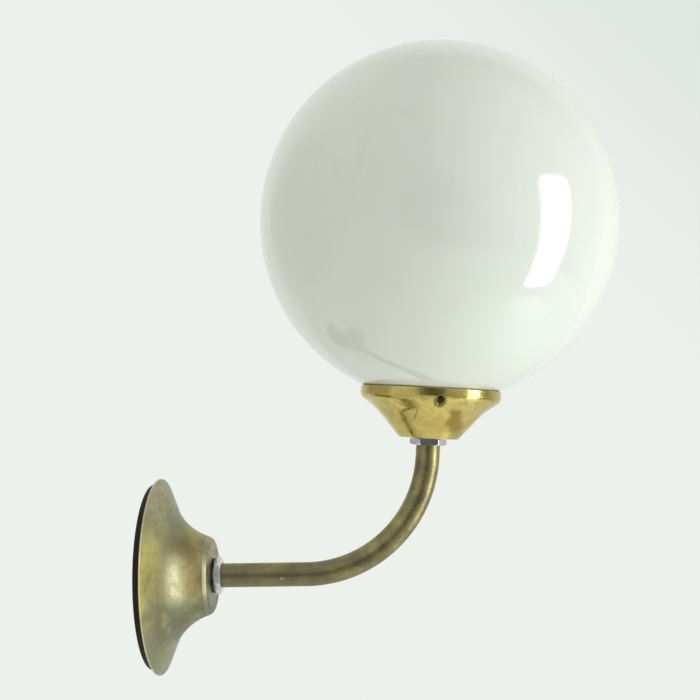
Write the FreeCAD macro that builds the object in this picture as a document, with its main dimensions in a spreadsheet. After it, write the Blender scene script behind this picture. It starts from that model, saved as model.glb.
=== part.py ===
import FreeCAD, Part
import Sketcher
import math
import os
from FreeCAD import Vector, Placement, Rotation

# Globe wall sconce, millimetres.
# Frame: origin at the centre of the wall face, the wall is the plane Y = 0 and
# lies on the +Y side, the arm leaves the wall along -Y, +Z is up, and the arm
# lies in the plane X = 0.
#
# Two local frames are used for the pieces:
#   wall frame  local +Z = out of the wall (-Y), local Y = up (+Z)
#   lamp frame  origin on the underside of the cup, local +Z = the globe's axis,
#               which leans a few degrees away from the wall

doc = FreeCAD.newDocument("GlobeWallSconce")

# ---------------------------------------------------------------- dimensions
SIZES = [
    # black ring and bell
    ("ring_outer_rad", 38.6, "base ring, outer radius"),
    ("ring_inner_rad", 35.0, "base ring, inner radius"),
    ("ring_deep", 3.0, "base ring, thickness"),
    ("bell_rim_rad", 41.0, "bell, rim radius"),
    ("bell_wall", 0.9, "bell, wall thickness"),
    ("bell_rim_edge", 0.4, "bell, height of the outer rim edge"),
    ("bell_lip_rad", 37.2, "bell, inner radius of the thickened rim"),
    ("bell_cone_rad", 30.6, "bell, radius where the flare turns into the waist"),
    ("bell_cone_deep", 7.95, "bell, distance from the wall there"),
    ("bell_arc_rad", 25.36, "bell, radius of the waist's curve"),
    ("bell_waist_rad", 16.35, "bell, radius at the shoulder crease"),
    ("bell_waist_deep", 23.7, "bell, distance of the crease from the wall"),
    ("bell_front_rad", 13.6, "bell, radius of the flat front"),
    ("bell_front_deep", 25.4, "bell, distance of the front from the wall"),
    ("bell_bore_rad", 5.25, "bell, bore for the arm"),
    # bracket
    ("strap_thick", 2.0, "bracket strap thickness"),
    ("strap_half", 8.0, "bracket strap half width"),
    ("strap_end", 33.5, "bracket, end of the feet from the centre"),
    ("strap_foot_in", 24.0, "bracket, inner end of the feet, front face"),
    ("strap_bridge_half", 15.0, "bracket, half length of the bridge, front face"),
    ("strap_bridge_deep", 14.0, "bracket, front of the bridge from the wall"),
    ("strap_hole_at", 28.0, "bracket, wall screw holes from the centre"),
    ("strap_hole_rad", 2.25, "bracket, wall screw hole radius"),
    ("strap_bore_rad", 5.15, "bracket, bore for the arm"),
    ("tongue_out", 19.0, "bracket, reach of the terminal tongue"),
    ("tongue_half", 5.0, "bracket, half height of the tongue"),
    ("earth_up", 11.2, "bracket, earth screw above the centre"),
    ("earth_screw_rad", 1.5, "earth screw shank radius"),
    # arm
    ("arm_rad", 5.0, "arm tube outer radius"),
    ("arm_bore_rad", 4.0, "arm tube bore radius"),
    ("arm_start", 8.4, "arm, inner end from the wall"),
    ("arm_straight", 64.8, "arm, end of the straight run from the wall"),
    ("arm_bend_rad", 52.0, "arm, centreline bend radius"),
    ("arm_bend_deg", 85.6, "arm, bend angle"),
    ("arm_riser", 7.7, "arm, straight part between bend and cup"),
    ("arm_top", 11.5, "arm, top end above the underside of the cup"),
    # hex nuts on the arm
    ("nut_flats", 13.5, "hex nut across flats"),
    ("nut_thick", 3.0, "hex nut thickness"),
    ("nut_bore_rad", 5.03, "hex nut bore radius"),
    ("nut_chamfer", 0.55, "hex nut corner chamfer"),
    ("washer_rad", 8.3, "lock washer outer radius"),
    ("seal_rad", 7.2, "dark washer in front of the bell, outer radius"),
    ("washer_thick", 0.8, "washer thickness"),
    ("washer_bore_rad", 5.15, "washer bore radius"),
    # cup
    ("cup_rim_rad", 29.22, "cup, rim radius"),
    ("cup_high", 20.66, "cup, height"),
    ("cup_band_low", 18.0, "cup, lower edge of the upright band"),
    ("cup_wall", 0.9, "cup, wall thickness"),
    ("cup_shoulder_rad", 27.95, "cup, radius at the foot of the shoulder curve"),
    ("cup_shoulder_high", 15.46, "cup, height at the foot of the shoulder curve"),
    ("cup_shoulder_arc", 3.25, "cup, shoulder curve radius"),
    ("cup_flare_rad", 23.6, "cup, radius at the end of the hollow"),
    ("cup_flare_high", 12.2, "cup, height at the end of the hollow"),
    ("cup_flare_arc", 15.0, "cup, radius of the hollow"),
    ("cup_cone_rad", 21.0, "cup, radius at the top of the cone"),
    ("cup_cone_high", 9.75, "cup, height at the top of the cone"),
    ("cup_base_rad", 12.3, "cup, radius of the underside"),
    ("cup_edge_rad", 12.9, "cup, radius at the foot of the cone"),
    ("cup_edge_high", 0.6, "cup, height at the foot of the cone"),
    ("cup_bore_rad", 5.15, "cup, bore for the arm"),
    ("cup_collar_rad", 25.0, "cup, bore of the thick collar that takes the screws"),
    ("cup_collar_low", 14.0, "cup, foot of the collar"),
    ("cup_collar_high", 18.7, "cup, top of the collar"),
    ("screw_high", 16.05, "set screws above the underside of the cup"),
    ("screw_turn", 190.0, "first set screw, angle about the globe's axis"),
    ("screw_rad", 1.5, "set screw radius"),
    ("screw_hole_rad", 1.53, "set screw hole radius"),
    ("screw_tip", 24.0, "set screw tip, distance from the globe's axis"),
    ("screw_long", 3.0, "set screw length"),
    # globe
    ("globe_rad", 75.0, "globe, outer radius"),
    ("globe_high", 90.25, "globe, centre above the underside of the cup"),
    ("globe_wall", 2.5, "globe, glass thickness"),
    ("globe_neck_rad", 23.9, "globe, neck outer radius"),
    ("globe_neck_low", 13.4, "globe, lower end of the neck"),
    # lampholder and bulb
    ("holder_low", 4.9, "lampholder, underside"),
    ("holder_rad", 14.0, "lampholder, base radius"),
    ("holder_split", 22.0, "lampholder, joint between base and sleeve"),
    ("holder_top", 50.0, "lampholder, top of the sleeve"),
    ("sleeve_rad", 13.4, "lampholder, sleeve radius"),
    ("shell_rad", 7.6, "lampholder, threaded shell outer radius"),
    ("shell_bore_rad", 7.2, "lampholder, threaded shell bore radius"),
    ("bulb_cap_rad", 6.95, "bulb, screw cap radius"),
    ("bulb_cap_low", 29.6, "bulb, lower edge of the screw cap"),
    ("bulb_cap_top", 47.5, "bulb, upper edge of the screw cap"),
    ("bulb_rad", 17.5, "bulb, largest radius of the glass"),
    # terminal block and wires
    ("block_in", 9.2, "terminal block, side towards the arm"),
    ("block_out", 19.8, "terminal block, far side"),
    ("block_half", 9.0, "terminal block, half length"),
    ("block_low", 3.6, "terminal block, rear face from the wall"),
    ("pole_pitch", 6.0, "terminal block, pitch of the poles"),
    ("pole_deep", 7.4, "terminal block, sleeve axis from the wall"),
    ("pole_rad", 1.85, "terminal block, sleeve radius"),
    ("wire_rad", 1.05, "wire radius over its insulation"),
    ("wire_off", 1.15, "wires, offset from the arm's centreline"),
]

sheet = doc.addObject("Spreadsheet::Sheet", "Sizes")
for row, (alias, number, note) in enumerate(SIZES, start=1):
    sheet.set("A%d" % row, note)
    sheet.set("B%d" % row, "%g" % number)
    sheet.setAlias("B%d" % row, alias)
doc.recompute()


class Dim:
    """A length or angle: its number, and the formula that ties it to the sheet."""

    def __init__(self, number, formula):
        self.number = float(number)
        self.formula = formula

    def _join(self, other, sign, result, swap=False):
        theirs = other.formula if isinstance(other, Dim) else "%.9g" % other
        pair = (theirs, self.formula) if swap else (self.formula, theirs)
        return Dim(result, "(%s %s %s)" % (pair[0], sign, pair[1]))

    def __add__(self, other):
        return self._join(other, "+", self.number + num(other))

    def __radd__(self, other):
        return self._join(other, "+", num(other) + self.number, True)

    def __sub__(self, other):
        return self._join(other, "-", self.number - num(other))

    def __rsub__(self, other):
        return self._join(other, "-", num(other) - self.number, True)

    def __mul__(self, other):
        return self._join(other, "*", self.number * num(other))

    def __rmul__(self, other):
        return self._join(other, "*", num(other) * self.number, True)

    def __truediv__(self, other):
        return self._join(other, "/", self.number / num(other))

    def __neg__(self):
        return Dim(-self.number, "(0 - %s)" % self.formula)


def num(value):
    return value.number if isinstance(value, Dim) else float(value)


def sind(angle):
    return Dim(math.sin(math.radians(angle.number)), "sin(%s * 1 deg)" % angle.formula)


def cosd(angle):
    return Dim(math.cos(math.radians(angle.number)), "cos(%s * 1 deg)" % angle.formula)


class Sheet:
    pass


S = Sheet()
for alias, number, note in SIZES:
    setattr(S, alias, Dim(number, "Sizes.%s" % alias))


def bind(obj, prop, value):
    if isinstance(value, Dim):
        obj.setExpression(prop, value.formula)


# ------------------------------------------------------------------ placing
lean = 90.0 - S.arm_bend_deg
lamp_y = -(S.arm_straight + S.arm_bend_rad * sind(S.arm_bend_deg)
           + S.arm_riser * cosd(S.arm_bend_deg))
lamp_z = (S.arm_bend_rad * (1.0 - cosd(S.arm_bend_deg))
          + S.arm_riser * sind(S.arm_bend_deg))
WALL_ROT = Rotation(Vector(1, 0, 0), 90)
LAMP_ROT = Rotation(Vector(1, 0, 0), lean.number)
LAMP_BASE = Vector(0, lamp_y.number, lamp_z.number)

PARTS = []


def keep(obj, name):
    obj.Label = name
    PARTS.append(obj)
    return obj


def place_wall(obj, turn=0.0):
    """Local +Z points out of the wall; turn is about that axis, in degrees."""
    obj.Placement = Placement(Vector(0, 0, 0), WALL_ROT * Rotation(Vector(0, 0, 1), turn))


def place_lamp(obj, turn=0.0):
    """Local +Z is the globe's axis; turn is about it, in degrees."""
    obj.Placement = Placement(LAMP_BASE, LAMP_ROT * Rotation(Vector(0, 0, 1), turn))
    bind(obj, "Placement.Base.y", lamp_y)
    bind(obj, "Placement.Base.z", lamp_z)


# ----------------------------------------------------------- sketch helpers
def origin_plane(body, role):
    for feature in body.Origin.OriginFeatures:
        if feature.Role == role:
            return feature
    raise ValueError(role)


def new_sketch(body, role, name, offset=None):
    sketch = body.newObject("Sketcher::SketchObject", name)
    sketch.AttachmentSupport = [(origin_plane(body, role), "")]
    sketch.MapMode = "FlatFace"
    if offset is not None:
        sketch.AttachmentOffset = Placement(Vector(0, 0, num(offset)), Rotation())
        bind(sketch, "AttachmentOffset.Base.z", offset)
    return sketch


def pin_point(sketch, geo, pos, x, y):
    """Ties a sketch point to its two coordinates, each bound to the sheet."""
    for value, kind, axis in ((x, "DistanceX", -2), (y, "DistanceY", -1)):
        if abs(num(value)) < 1e-9:
            sketch.addConstraint(Sketcher.Constraint("PointOnObject", geo, pos, axis))
            continue
        index = sketch.addConstraint(
            Sketcher.Constraint(kind, -1, 1, geo, pos, num(value)))
        bind(sketch, "Constraints[%d]" % index, value)


def arc_between(p, q, radius, left):
    """Arc of a circle from p to q; left: the centre lies left of p -> q."""
    mid = (p + q) * 0.5
    half = (q - p).Length / 2.0
    rise = math.sqrt(max(radius * radius - half * half, 0.0))
    along = (q - p).normalize()
    side = Vector(-along.y, along.x, 0)
    centre = mid + side * (rise if left else -rise)
    start = math.atan2(p.y - centre.y, p.x - centre.x)
    end = math.atan2(q.y - centre.y, q.x - centre.x)
    circle = Part.Circle(centre, Vector(0, 0, 1), radius)
    if left:
        return Part.ArcOfCircle(circle, start, end), 1, 2
    return Part.ArcOfCircle(circle, end, start), 2, 1


def draw_profile(sketch, points, closed=True):
    """points: (x, y) or (x, y, radius, "left"/"right"), where the radius is that
    of the arc that leads from this point to the next one."""
    vectors = [Vector(num(p[0]), num(p[1]), 0) for p in points]
    count = len(points)
    first = last = None
    for i in range(count if closed else count - 1):
        a, b = vectors[i], vectors[(i + 1) % count]
        point = points[i]
        if len(point) > 2:
            shape, pa, pb = arc_between(a, b, num(point[2]), point[3] == "left")
            geo = sketch.addGeometry(shape, False)
            index = sketch.addConstraint(
                Sketcher.Constraint("Radius", geo, num(point[2])))
            bind(sketch, "Constraints[%d]" % index, point[2])
        else:
            geo = sketch.addGeometry(Part.LineSegment(a, b), False)
            pa, pb = 1, 2
        if last is not None:
            sketch.addConstraint(
                Sketcher.Constraint("Coincident", last[0], last[1], geo, pa))
        else:
            first = (geo, pa)
        pin_point(sketch, geo, pa, point[0], point[1])
        last = (geo, pb)
    if closed:
        sketch.addConstraint(
            Sketcher.Constraint("Coincident", last[0], last[1], first[0], first[1]))
    else:
        pin_point(sketch, last[0], last[1], points[-1][0], points[-1][1])
    return sketch


def draw_circle(sketch, x, y, radius):
    geo = sketch.addGeometry(
        Part.Circle(Vector(num(x), num(y), 0), Vector(0, 0, 1), num(radius)), False)
    pin_point(sketch, geo, 3, x, y)
    index = sketch.addConstraint(Sketcher.Constraint("Radius", geo, num(radius)))
    bind(sketch, "Constraints[%d]" % index, radius)
    return geo


def new_body(name):
    body = doc.addObject("PartDesign::Body", name)
    return keep(body, name)


def revolve(body, points, name, angle=360.0):
    """Revolves a profile of (radius, height) points about the local Z axis."""
    sketch = draw_profile(new_sketch(body, "XZ_Plane", name + "_profile"), points)
    feature = body.newObject("PartDesign::Revolution", name + "_turned")
    feature.Profile = sketch
    feature.ReferenceAxis = (sketch, ["V_Axis"])
    feature.Angle = angle
    sketch.Visibility = False
    return feature


def groove(body, points, name):
    sketch = draw_profile(new_sketch(body, "XZ_Plane", name + "_profile"), points)
    feature = body.newObject("PartDesign::Groove", name + "_cut")
    feature.Profile = sketch
    feature.ReferenceAxis = (sketch, ["V_Axis"])
    feature.Angle = 360.0
    return feature


def pad(body, sketch, length, name, midplane=False, reverse=False):
    feature = body.newObject("PartDesign::Pad", name)
    feature.Profile = sketch
    feature.Length = num(length)
    bind(feature, "Length", length)
    feature.Midplane = midplane
    feature.Reversed = reverse
    return feature


def pocket(body, sketch, length, name, midplane=False, reverse=False):
    feature = body.newObject("PartDesign::Pocket", name)
    feature.Profile = sketch
    feature.Length = num(length)
    bind(feature, "Length", length)
    feature.Midplane = midplane
    feature.Reversed = reverse
    return feature


def must_cut(body, feature, what):
    """The cut has to take material away."""
    before = feature.BaseFeature.Shape.Volume
    after = feature.Shape.Volume
    if not after < before - 1e-3:
        raise RuntimeError("%s cuts nothing: %s" % (what, body.Label))


def simple_turned(name, points, where, turn=0.0):
    body = new_body(name)
    revolve(body, points, name)
    where(body, turn)
    return body


def washer(name, low, where, radius=S.washer_rad):
    return simple_turned(name, [
        (S.washer_bore_rad, low), (radius, low),
        (radius, low + S.washer_thick),
        (S.washer_bore_rad, low + S.washer_thick)], where)


def hexagon(sketch, flats, turn_deg):
    """Regular hexagon about the sketch's origin, its corners bound to the size."""
    corner = flats / math.sqrt(3.0)
    points = []
    for i in range(6):
        angle = math.radians(turn_deg + 60.0 * i)
        points.append((corner * round(math.cos(angle), 9), corner * round(math.sin(angle), 9)))
    return draw_profile(sketch, points)


def hex_nut(name, low, where, turn=0.0):
    """Hex nut with both faces chamfered at the corners, bore drawn plain."""
    body = new_body(name)
    sketch = hexagon(new_sketch(body, "XY_Plane", name + "_hexagon", low), S.nut_flats, 0.0)
    pad(body, sketch, S.nut_thick, name + "_blank")
    doc.recompute()
    hole = new_sketch(body, "XY_Plane", name + "_bore", low)
    draw_circle(hole, 0.0, 0.0, S.nut_bore_rad)
    bore = pocket(body, hole, S.nut_thick, name + "_bored", reverse=True)
    inner = S.nut_flats / 2.0 + 0.05
    outer = S.nut_flats / 2.0 + 2.2
    rise = S.nut_chamfer
    run = outer - inner
    top = groove(body, [(inner, low + S.nut_thick + 0.0),
                        (outer, low + S.nut_thick - rise * 2.2),
                        (outer, low + S.nut_thick + 0.5),
                        (inner, low + S.nut_thick + 0.5)], name + "_chamfer_top")
    foot = groove(body, [(inner, low), (inner, low - 0.5),
                         (outer, low - 0.5), (outer, low + rise * 2.2)], name + "_chamfer_foot")
    doc.recompute()
    must_cut(body, bore, "bore")
    must_cut(body, top, "top chamfer")
    must_cut(body, foot, "foot chamfer")
    where(body, turn)
    return body


# ------------------------------------------------------------------ base ring
simple_turned("base_ring", [
    (S.ring_inner_rad, 0.0), (S.ring_outer_rad - 0.3, 0.0), (S.ring_outer_rad, 0.3),
    (S.ring_outer_rad, S.ring_deep - 0.3), (S.ring_outer_rad - 0.3, S.ring_deep),
    (S.ring_inner_rad, S.ring_deep)], place_wall)

# ----------------------------------------------------------------------- bell
# The waist's curve is an arc about a centre outside the bell; the inner surface
# is the same arc and cone set in by the wall thickness.
flare_slope = 0.43
cone_back = math.hypot(1.0, flare_slope)
in_r = flare_slope / cone_back      # unit normal of the cone, towards the axis
in_s = 1.0 / cone_back
rim_step = S.bell_rim_edge
body = new_body("canopy")
revolve(body, [
    (S.bell_rim_rad, S.ring_deep),
    (S.bell_rim_rad, S.ring_deep + rim_step),
    (S.bell_cone_rad, S.bell_cone_deep, S.bell_arc_rad, "right"),
    (S.bell_waist_rad, S.bell_waist_deep),
    (S.bell_waist_rad - 0.75, S.bell_front_deep - 0.62, 2.6, "left"),
    (S.bell_front_rad, S.bell_front_deep),
    (S.bell_bore_rad, S.bell_front_deep),
    (S.bell_bore_rad, S.bell_front_deep - S.bell_wall),
    (S.bell_front_rad - 0.6, S.bell_front_deep - S.bell_wall),
    (S.bell_waist_rad - S.bell_wall * 0.96, S.bell_waist_deep - S.bell_wall * 0.3,
     S.bell_arc_rad + S.bell_wall, "left"),
    (S.bell_cone_rad - S.bell_wall * in_r, S.bell_cone_deep - S.bell_wall * in_s),
    (S.bell_lip_rad, S.ring_deep + 0.75),
    (S.bell_lip_rad, S.ring_deep),
], "canopy")
place_wall(body)

# --------------------------------------------------------------- wall bracket
body = new_body("wall_bracket")
inset = 2.5 * S.strap_thick / 2.0
run_in = 1.5 * S.strap_thick / 2.0
profile = new_sketch(body, "YZ_Plane", "bracket_side")
low = S.strap_bridge_deep - S.strap_thick
under_foot = S.strap_foot_in - inset + run_in
under_bridge = S.strap_bridge_half + run_in - inset
draw_profile(profile, [
    (S.strap_end, 0.0), (S.strap_end, S.strap_thick),
    (S.strap_foot_in, S.strap_thick), (S.strap_bridge_half, S.strap_bridge_deep),
    (-S.strap_bridge_half, S.strap_bridge_deep), (-S.strap_foot_in, S.strap_thick),
    (-S.strap_end, S.strap_thick), (-S.strap_end, 0.0),
    (-under_foot, 0.0), (-under_bridge, low),
    (under_bridge, low), (under_foot, 0.0)])
pad(body, profile, S.strap_half * 2.0, "bracket_strap", midplane=True)
tongue = new_sketch(body, "XY_Plane", "bracket_tongue", low)
draw_profile(tongue, [
    (S.strap_half - 1.0, -S.tongue_half), (S.tongue_out, -S.tongue_half),
    (S.tongue_out, S.tongue_half), (S.strap_half - 1.0, S.tongue_half)])
pad(body, tongue, S.strap_thick, "bracket_tongue_plate")
doc.recompute()
feet = new_sketch(body, "XY_Plane", "bracket_feet_holes", 0.0)
draw_circle(feet, 0.0, S.strap_hole_at, S.strap_hole_rad)
draw_circle(feet, 0.0, -S.strap_hole_at, S.strap_hole_rad)
foot_cut = pocket(body, feet, 12.0, "bracket_feet_cut", reverse=True)
centre = new_sketch(body, "XY_Plane", "bracket_bridge_holes", low - 1.0)
draw_circle(centre, 0.0, 0.0, S.strap_bore_rad)
draw_circle(centre, 0.0, S.earth_up, S.earth_screw_rad + 0.03)
draw_circle(centre, (S.block_in + S.block_out) / 2.0, S.pole_pitch / 2.0, 1.03)
bridge_cut = pocket(body, centre, S.strap_thick + 2.0, "bracket_bridge_cut", reverse=True)
doc.recompute()
must_cut(body, foot_cut, "foot holes")
must_cut(body, bridge_cut, "bridge holes")
# bend radii on the outside of the four bends, and rounded foot corners
round_edges = []
for index, edge in enumerate(body.Shape.Edges, start=1):
    a, b = edge.Vertexes[0].Point, edge.Vertexes[-1].Point
    if abs(a.y - b.y) < 1e-6 and abs(a.z - b.z) < 1e-6 and abs(a.x - b.x) > 6.0:
        at_bridge = (abs(abs(a.y) - S.strap_bridge_half.number) < 1e-3
                     and abs(a.z - S.strap_bridge_deep.number) < 1e-3)
        under = (abs(abs(a.y) - under_foot.number) < 1e-3 and abs(a.z) < 1e-3)
        if at_bridge or under:
            round_edges.append("Edge%d" % index)
    if abs(a.x - b.x) < 1e-6 and abs(a.y - b.y) < 1e-6 and abs(abs(a.y) - S.strap_end.number) < 1e-3:
        round_edges.append("Edge%d" % index)
if len(round_edges) != 8:
    raise RuntimeError("bracket edges to round: %d" % len(round_edges))
rounding = body.newObject("PartDesign::Fillet", "bracket_bends")
rounding.Base = (bridge_cut, round_edges)
rounding.Radius = 1.5
place_wall(body)

# ---------------------------------------------------- nuts and washers, wall end
hex_nut("bracket_rear_nut", S.strap_bridge_deep - S.strap_thick - S.nut_thick, place_wall, 0.0)
washer("bracket_lock_washer", S.strap_bridge_deep, place_wall)
hex_nut("bracket_front_nut", S.strap_bridge_deep + S.washer_thick, place_wall, 0.0)
washer("canopy_washer", S.bell_front_deep, place_wall, S.seal_rad)
hex_nut("canopy_nut", S.bell_front_deep + S.washer_thick, place_wall, 19.0)

# ------------------------------------------------------------------- arm tube
body = new_body("arm_tube")
path = new_sketch(body, "YZ_Plane", "arm_centreline")
end_u = S.arm_straight + S.arm_bend_rad * sind(S.arm_bend_deg)
end_v = S.arm_bend_rad * (1.0 - cosd(S.arm_bend_deg))
top_u = end_u + (S.arm_riser + S.arm_top) * cosd(S.arm_bend_deg)
top_v = end_v + (S.arm_riser + S.arm_top) * sind(S.arm_bend_deg)
draw_profile(path, [
    (-S.arm_start, 0.0), (-S.arm_straight, 0.0, S.arm_bend_rad, "right"),
    (-end_u, end_v), (-top_u, top_v)], closed=False)
section = new_sketch(body, "XZ_Plane", "arm_section", S.arm_start)
draw_circle(section, 0.0, 0.0, S.arm_rad)
draw_circle(section, 0.0, 0.0, S.arm_bore_rad)
pipe = body.newObject("PartDesign::AdditivePipe", "arm_bent")
pipe.Profile = section
pipe.Spine = path
pipe.Mode = 0
doc.recompute()

# -------------------------------------------------------------------- the cup
body = new_body("gallery")
cone_run = S.cup_wall * 1.345       # the wall measured along the radius, on the cone
revolve(body, [
    (S.cup_bore_rad, 0.0), (S.cup_base_rad, 0.0),
    (S.cup_edge_rad, S.cup_edge_high),
    (S.cup_cone_rad, S.cup_cone_high, S.cup_flare_arc, "right"),
    (S.cup_flare_rad, S.cup_flare_high),
    (S.cup_shoulder_rad, S.cup_shoulder_high, S.cup_shoulder_arc, "left"),
    (S.cup_rim_rad, S.cup_band_low),
    (S.cup_rim_rad, S.cup_high - 0.15), (S.cup_rim_rad - 0.15, S.cup_high),
    (S.cup_rim_rad - S.cup_wall, S.cup_high),
    (S.cup_rim_rad - S.cup_wall, S.cup_collar_high),
    (S.cup_collar_rad, S.cup_collar_high),
    (S.cup_collar_rad, S.cup_collar_low),
    (S.cup_cone_rad - cone_run, S.cup_cone_high),
    (S.cup_edge_rad - cone_run + 0.27, S.cup_wall),
    (S.cup_bore_rad, S.cup_wall),
], "gallery")
doc.recompute()
hole = new_sketch(body, "YZ_Plane", "gallery_screw_hole", 20.0)
draw_circle(hole, 0.0, S.screw_high, S.screw_hole_rad)
first_hole = pocket(body, hole, 14.0, "gallery_screw_cut", reverse=True)
doc.recompute()
must_cut(body, first_hole, "set screw hole")
pattern = body.newObject("PartDesign::PolarPattern", "gallery_screw_holes")
pattern.Originals = [first_hole]
pattern.Axis = (origin_plane(body, "Z_Axis"), [""])
pattern.Angle = 360
pattern.Occurrences = 3
body.Tip = pattern
doc.recompute()
place_lamp(body, S.screw_turn.number)

hex_nut("gallery_nut_lower", -S.nut_thick, place_lamp, 35.0)
washer("gallery_lock_washer", S.cup_wall, place_lamp)
hex_nut("gallery_nut_upper", S.cup_wall + S.washer_thick, place_lamp, 30.0)

# ----------------------------------------------------------------- set screws
for number in range(3):
    name = "set_screw_%d" % (number + 1)
    body = new_body(name)
    # turned about the local Z axis, then laid down pointing at the globe's axis
    revolve(body, [
        (0.0, 0.0), (S.screw_rad - 0.35, 0.0), (S.screw_rad, 0.35),
        (S.screw_rad, S.screw_long - 0.2), (S.screw_rad - 0.2, S.screw_long),
        (0.0, S.screw_long)], name)
    slot = new_sketch(body, "XY_Plane", name + "_slot", S.screw_long)
    draw_profile(slot, [(-2.0, -0.3), (2.0, -0.3), (2.0, 0.3), (-2.0, 0.3)])
    cut = pocket(body, slot, 0.9, name + "_slotted")
    doc.recompute()
    must_cut(body, cut, "slot")
    turn = Rotation(Vector(0, 0, 1), S.screw_turn.number + 120.0 * number)
    lay = LAMP_ROT * turn * Rotation(Vector(0, 1, 0), 90)
    offset = (LAMP_ROT * turn).multVec(Vector(S.screw_tip.number, 0, S.screw_high.number))
    body.Placement = Placement(LAMP_BASE + offset, lay)

# ---------------------------------------------------------------------- globe
def circle_height(radius, at):
    """Height below the globe's centre at which its sphere has the radius at."""
    return Dim(math.sqrt(radius.number ** 2 - at.number ** 2),
               "sqrt(%s * %s - %s * %s)" % (radius.formula, radius.formula,
                                            at.formula, at.formula))


inner_globe = S.globe_rad - S.globe_wall
neck_in = S.globe_neck_rad - S.globe_wall
body = new_body("globe")
revolve(body, [
    (S.globe_neck_rad, S.globe_neck_low + 0.5),
    (S.globe_neck_rad, S.globe_high - circle_height(S.globe_rad, S.globe_neck_rad),
     S.globe_rad, "left"),
    (0.0, S.globe_high + S.globe_rad),
    (0.0, S.globe_high + inner_globe, inner_globe, "right"),
    (neck_in, S.globe_high - circle_height(inner_globe, neck_in)),
    (neck_in, S.globe_neck_low + 0.5),
    (neck_in + 0.5, S.globe_neck_low),
    (S.globe_neck_rad - 0.5, S.globe_neck_low),
], "globe")
place_lamp(body)

# ----------------------------------------------------------------- lampholder
simple_turned("lampholder_cap", [
    (5.06, S.holder_low), (7.6, S.holder_low), (10.5, S.holder_low + 2.2),
    (S.holder_rad - 0.6, S.holder_low + 6.2), (S.holder_rad, S.holder_low + 7.6),
    (S.holder_rad, S.holder_split),
    (S.holder_rad - 1.4, S.holder_split),
    (S.holder_rad - 1.4, S.holder_low + 8.2), (9.4, S.holder_low + 4.1),
    (7.4, S.holder_low + 2.6), (7.4, S.holder_low + 7.0), (5.06, S.holder_low + 7.0),
], place_lamp)
simple_turned("lampholder_core", [
    (0.0, 15.0), (S.holder_rad - 1.5, 15.0), (S.holder_rad - 1.5, 20.0),
    (9.6, 20.0), (9.6, 24.0), (3.2, 24.0), (3.2, 23.0), (0.0, 23.0)], place_lamp)
simple_turned("lampholder_contact", [
    (0.0, 23.0), (2.6, 23.0), (2.6, 24.2), (1.6, 26.6), (0.0, 26.8)], place_lamp)
simple_turned("lampholder_shell", [
    (S.shell_bore_rad, 24.0), (S.shell_rad, 24.0), (S.shell_rad, 44.0),
    (S.shell_bore_rad, 44.0)], place_lamp)
simple_turned("lampholder_sleeve", [
    (9.7, S.holder_split), (S.sleeve_rad, S.holder_split),
    (S.sleeve_rad, S.holder_top - 1.0), (S.sleeve_rad - 1.0, S.holder_top),
    (8.2, S.holder_top), (8.2, 45.0), (9.7, 45.0)], place_lamp)

# ----------------------------------------------------------------------- bulb
simple_turned("bulb_cap", [
    (5.4, S.bulb_cap_low), (S.bulb_cap_rad - 0.5, S.bulb_cap_low),
    (S.bulb_cap_rad, S.bulb_cap_low + 0.8), (S.bulb_cap_rad, S.bulb_cap_top - 1.2),
    (S.bulb_cap_rad + 0.35, S.bulb_cap_top), (S.bulb_cap_rad - 0.3, S.bulb_cap_top),
    (S.bulb_cap_rad - 0.3, S.bulb_cap_low + 0.8), (5.4, S.bulb_cap_low + 0.8)], place_lamp)
simple_turned("bulb_collar", [
    (2.0, 27.6), (3.4, 27.6), (5.35, S.bulb_cap_low), (5.35, S.bulb_cap_low + 1.2),
    (2.0, S.bulb_cap_low + 1.2)], place_lamp)
simple_turned("bulb_tip_contact", [
    (0.0, 26.85), (1.5, 27.05), (1.95, 27.7), (1.95, 29.2), (0.0, 29.2)], place_lamp)
# candle-shaped glass with a thin wall: neck, belly and long taper are tangent arcs
glass_wall = 0.8
side_arc, tip_arc, belly_high = 75.0, 4.5, 80.0
side_run = side_arc - S.bulb_rad.number
rise = math.sqrt((side_arc - tip_arc) ** 2 - side_run ** 2)


def tip_joint(radius):
    """Where the long taper meets the tip's arc, on the surface of that radius."""
    share = radius / (side_arc - tip_arc)
    return -side_run + side_run * share, belly_high + rise * share


outer_joint = tip_joint(side_arc)
inner_joint = tip_joint(side_arc - glass_wall)
tip_high = belly_high + rise + tip_arc
body = new_body("bulb_glass")
revolve(body, [
    (6.5, 41.0), (6.5, S.bulb_cap_top + 0.1), (7.0, S.bulb_cap_top + 0.5),
    (7.0, 51.16, 12.87, "right"), (10.01, 59.43, 32.0, "left"),
    (S.bulb_rad, belly_high, side_arc, "left"),
    (outer_joint[0], outer_joint[1], tip_arc, "left"), (0.0, tip_high),
    (0.0, tip_high - glass_wall, tip_arc - glass_wall, "right"),
    (inner_joint[0], inner_joint[1], side_arc - glass_wall, "right"),
    (S.bulb_rad - glass_wall, belly_high, 31.2, "right"),
    (9.4, 59.94, 13.67, "left"),
    (6.2, 51.16), (6.2, 48.2), (5.75, 47.6), (5.75, 41.0)], "bulb_glass")
place_lamp(body)
simple_turned("bulb_stem", [
    (0.0, 41.5), (5.7, 41.5), (5.7, 42.6), (3.6, 45.0), (3.4, 60.0), (3.2, 62.0),
    (0.0, 62.0)], place_lamp)
# ------------------------------------------------------------- terminal block
def box(name, x0, y0, z0, dx, dy, dz):
    solid = doc.addObject("Part::Box", name)
    for prop, value in (("Length", dx), ("Width", dy), ("Height", dz)):
        setattr(solid, prop, num(value))
        bind(solid, prop, value)
    solid.Placement = Placement(Vector(num(x0), num(y0), num(z0)), Rotation())
    for axis, value in (("x", x0), ("y", y0), ("z", z0)):
        bind(solid, "Placement.Base." + axis, value)
    return solid


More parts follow.
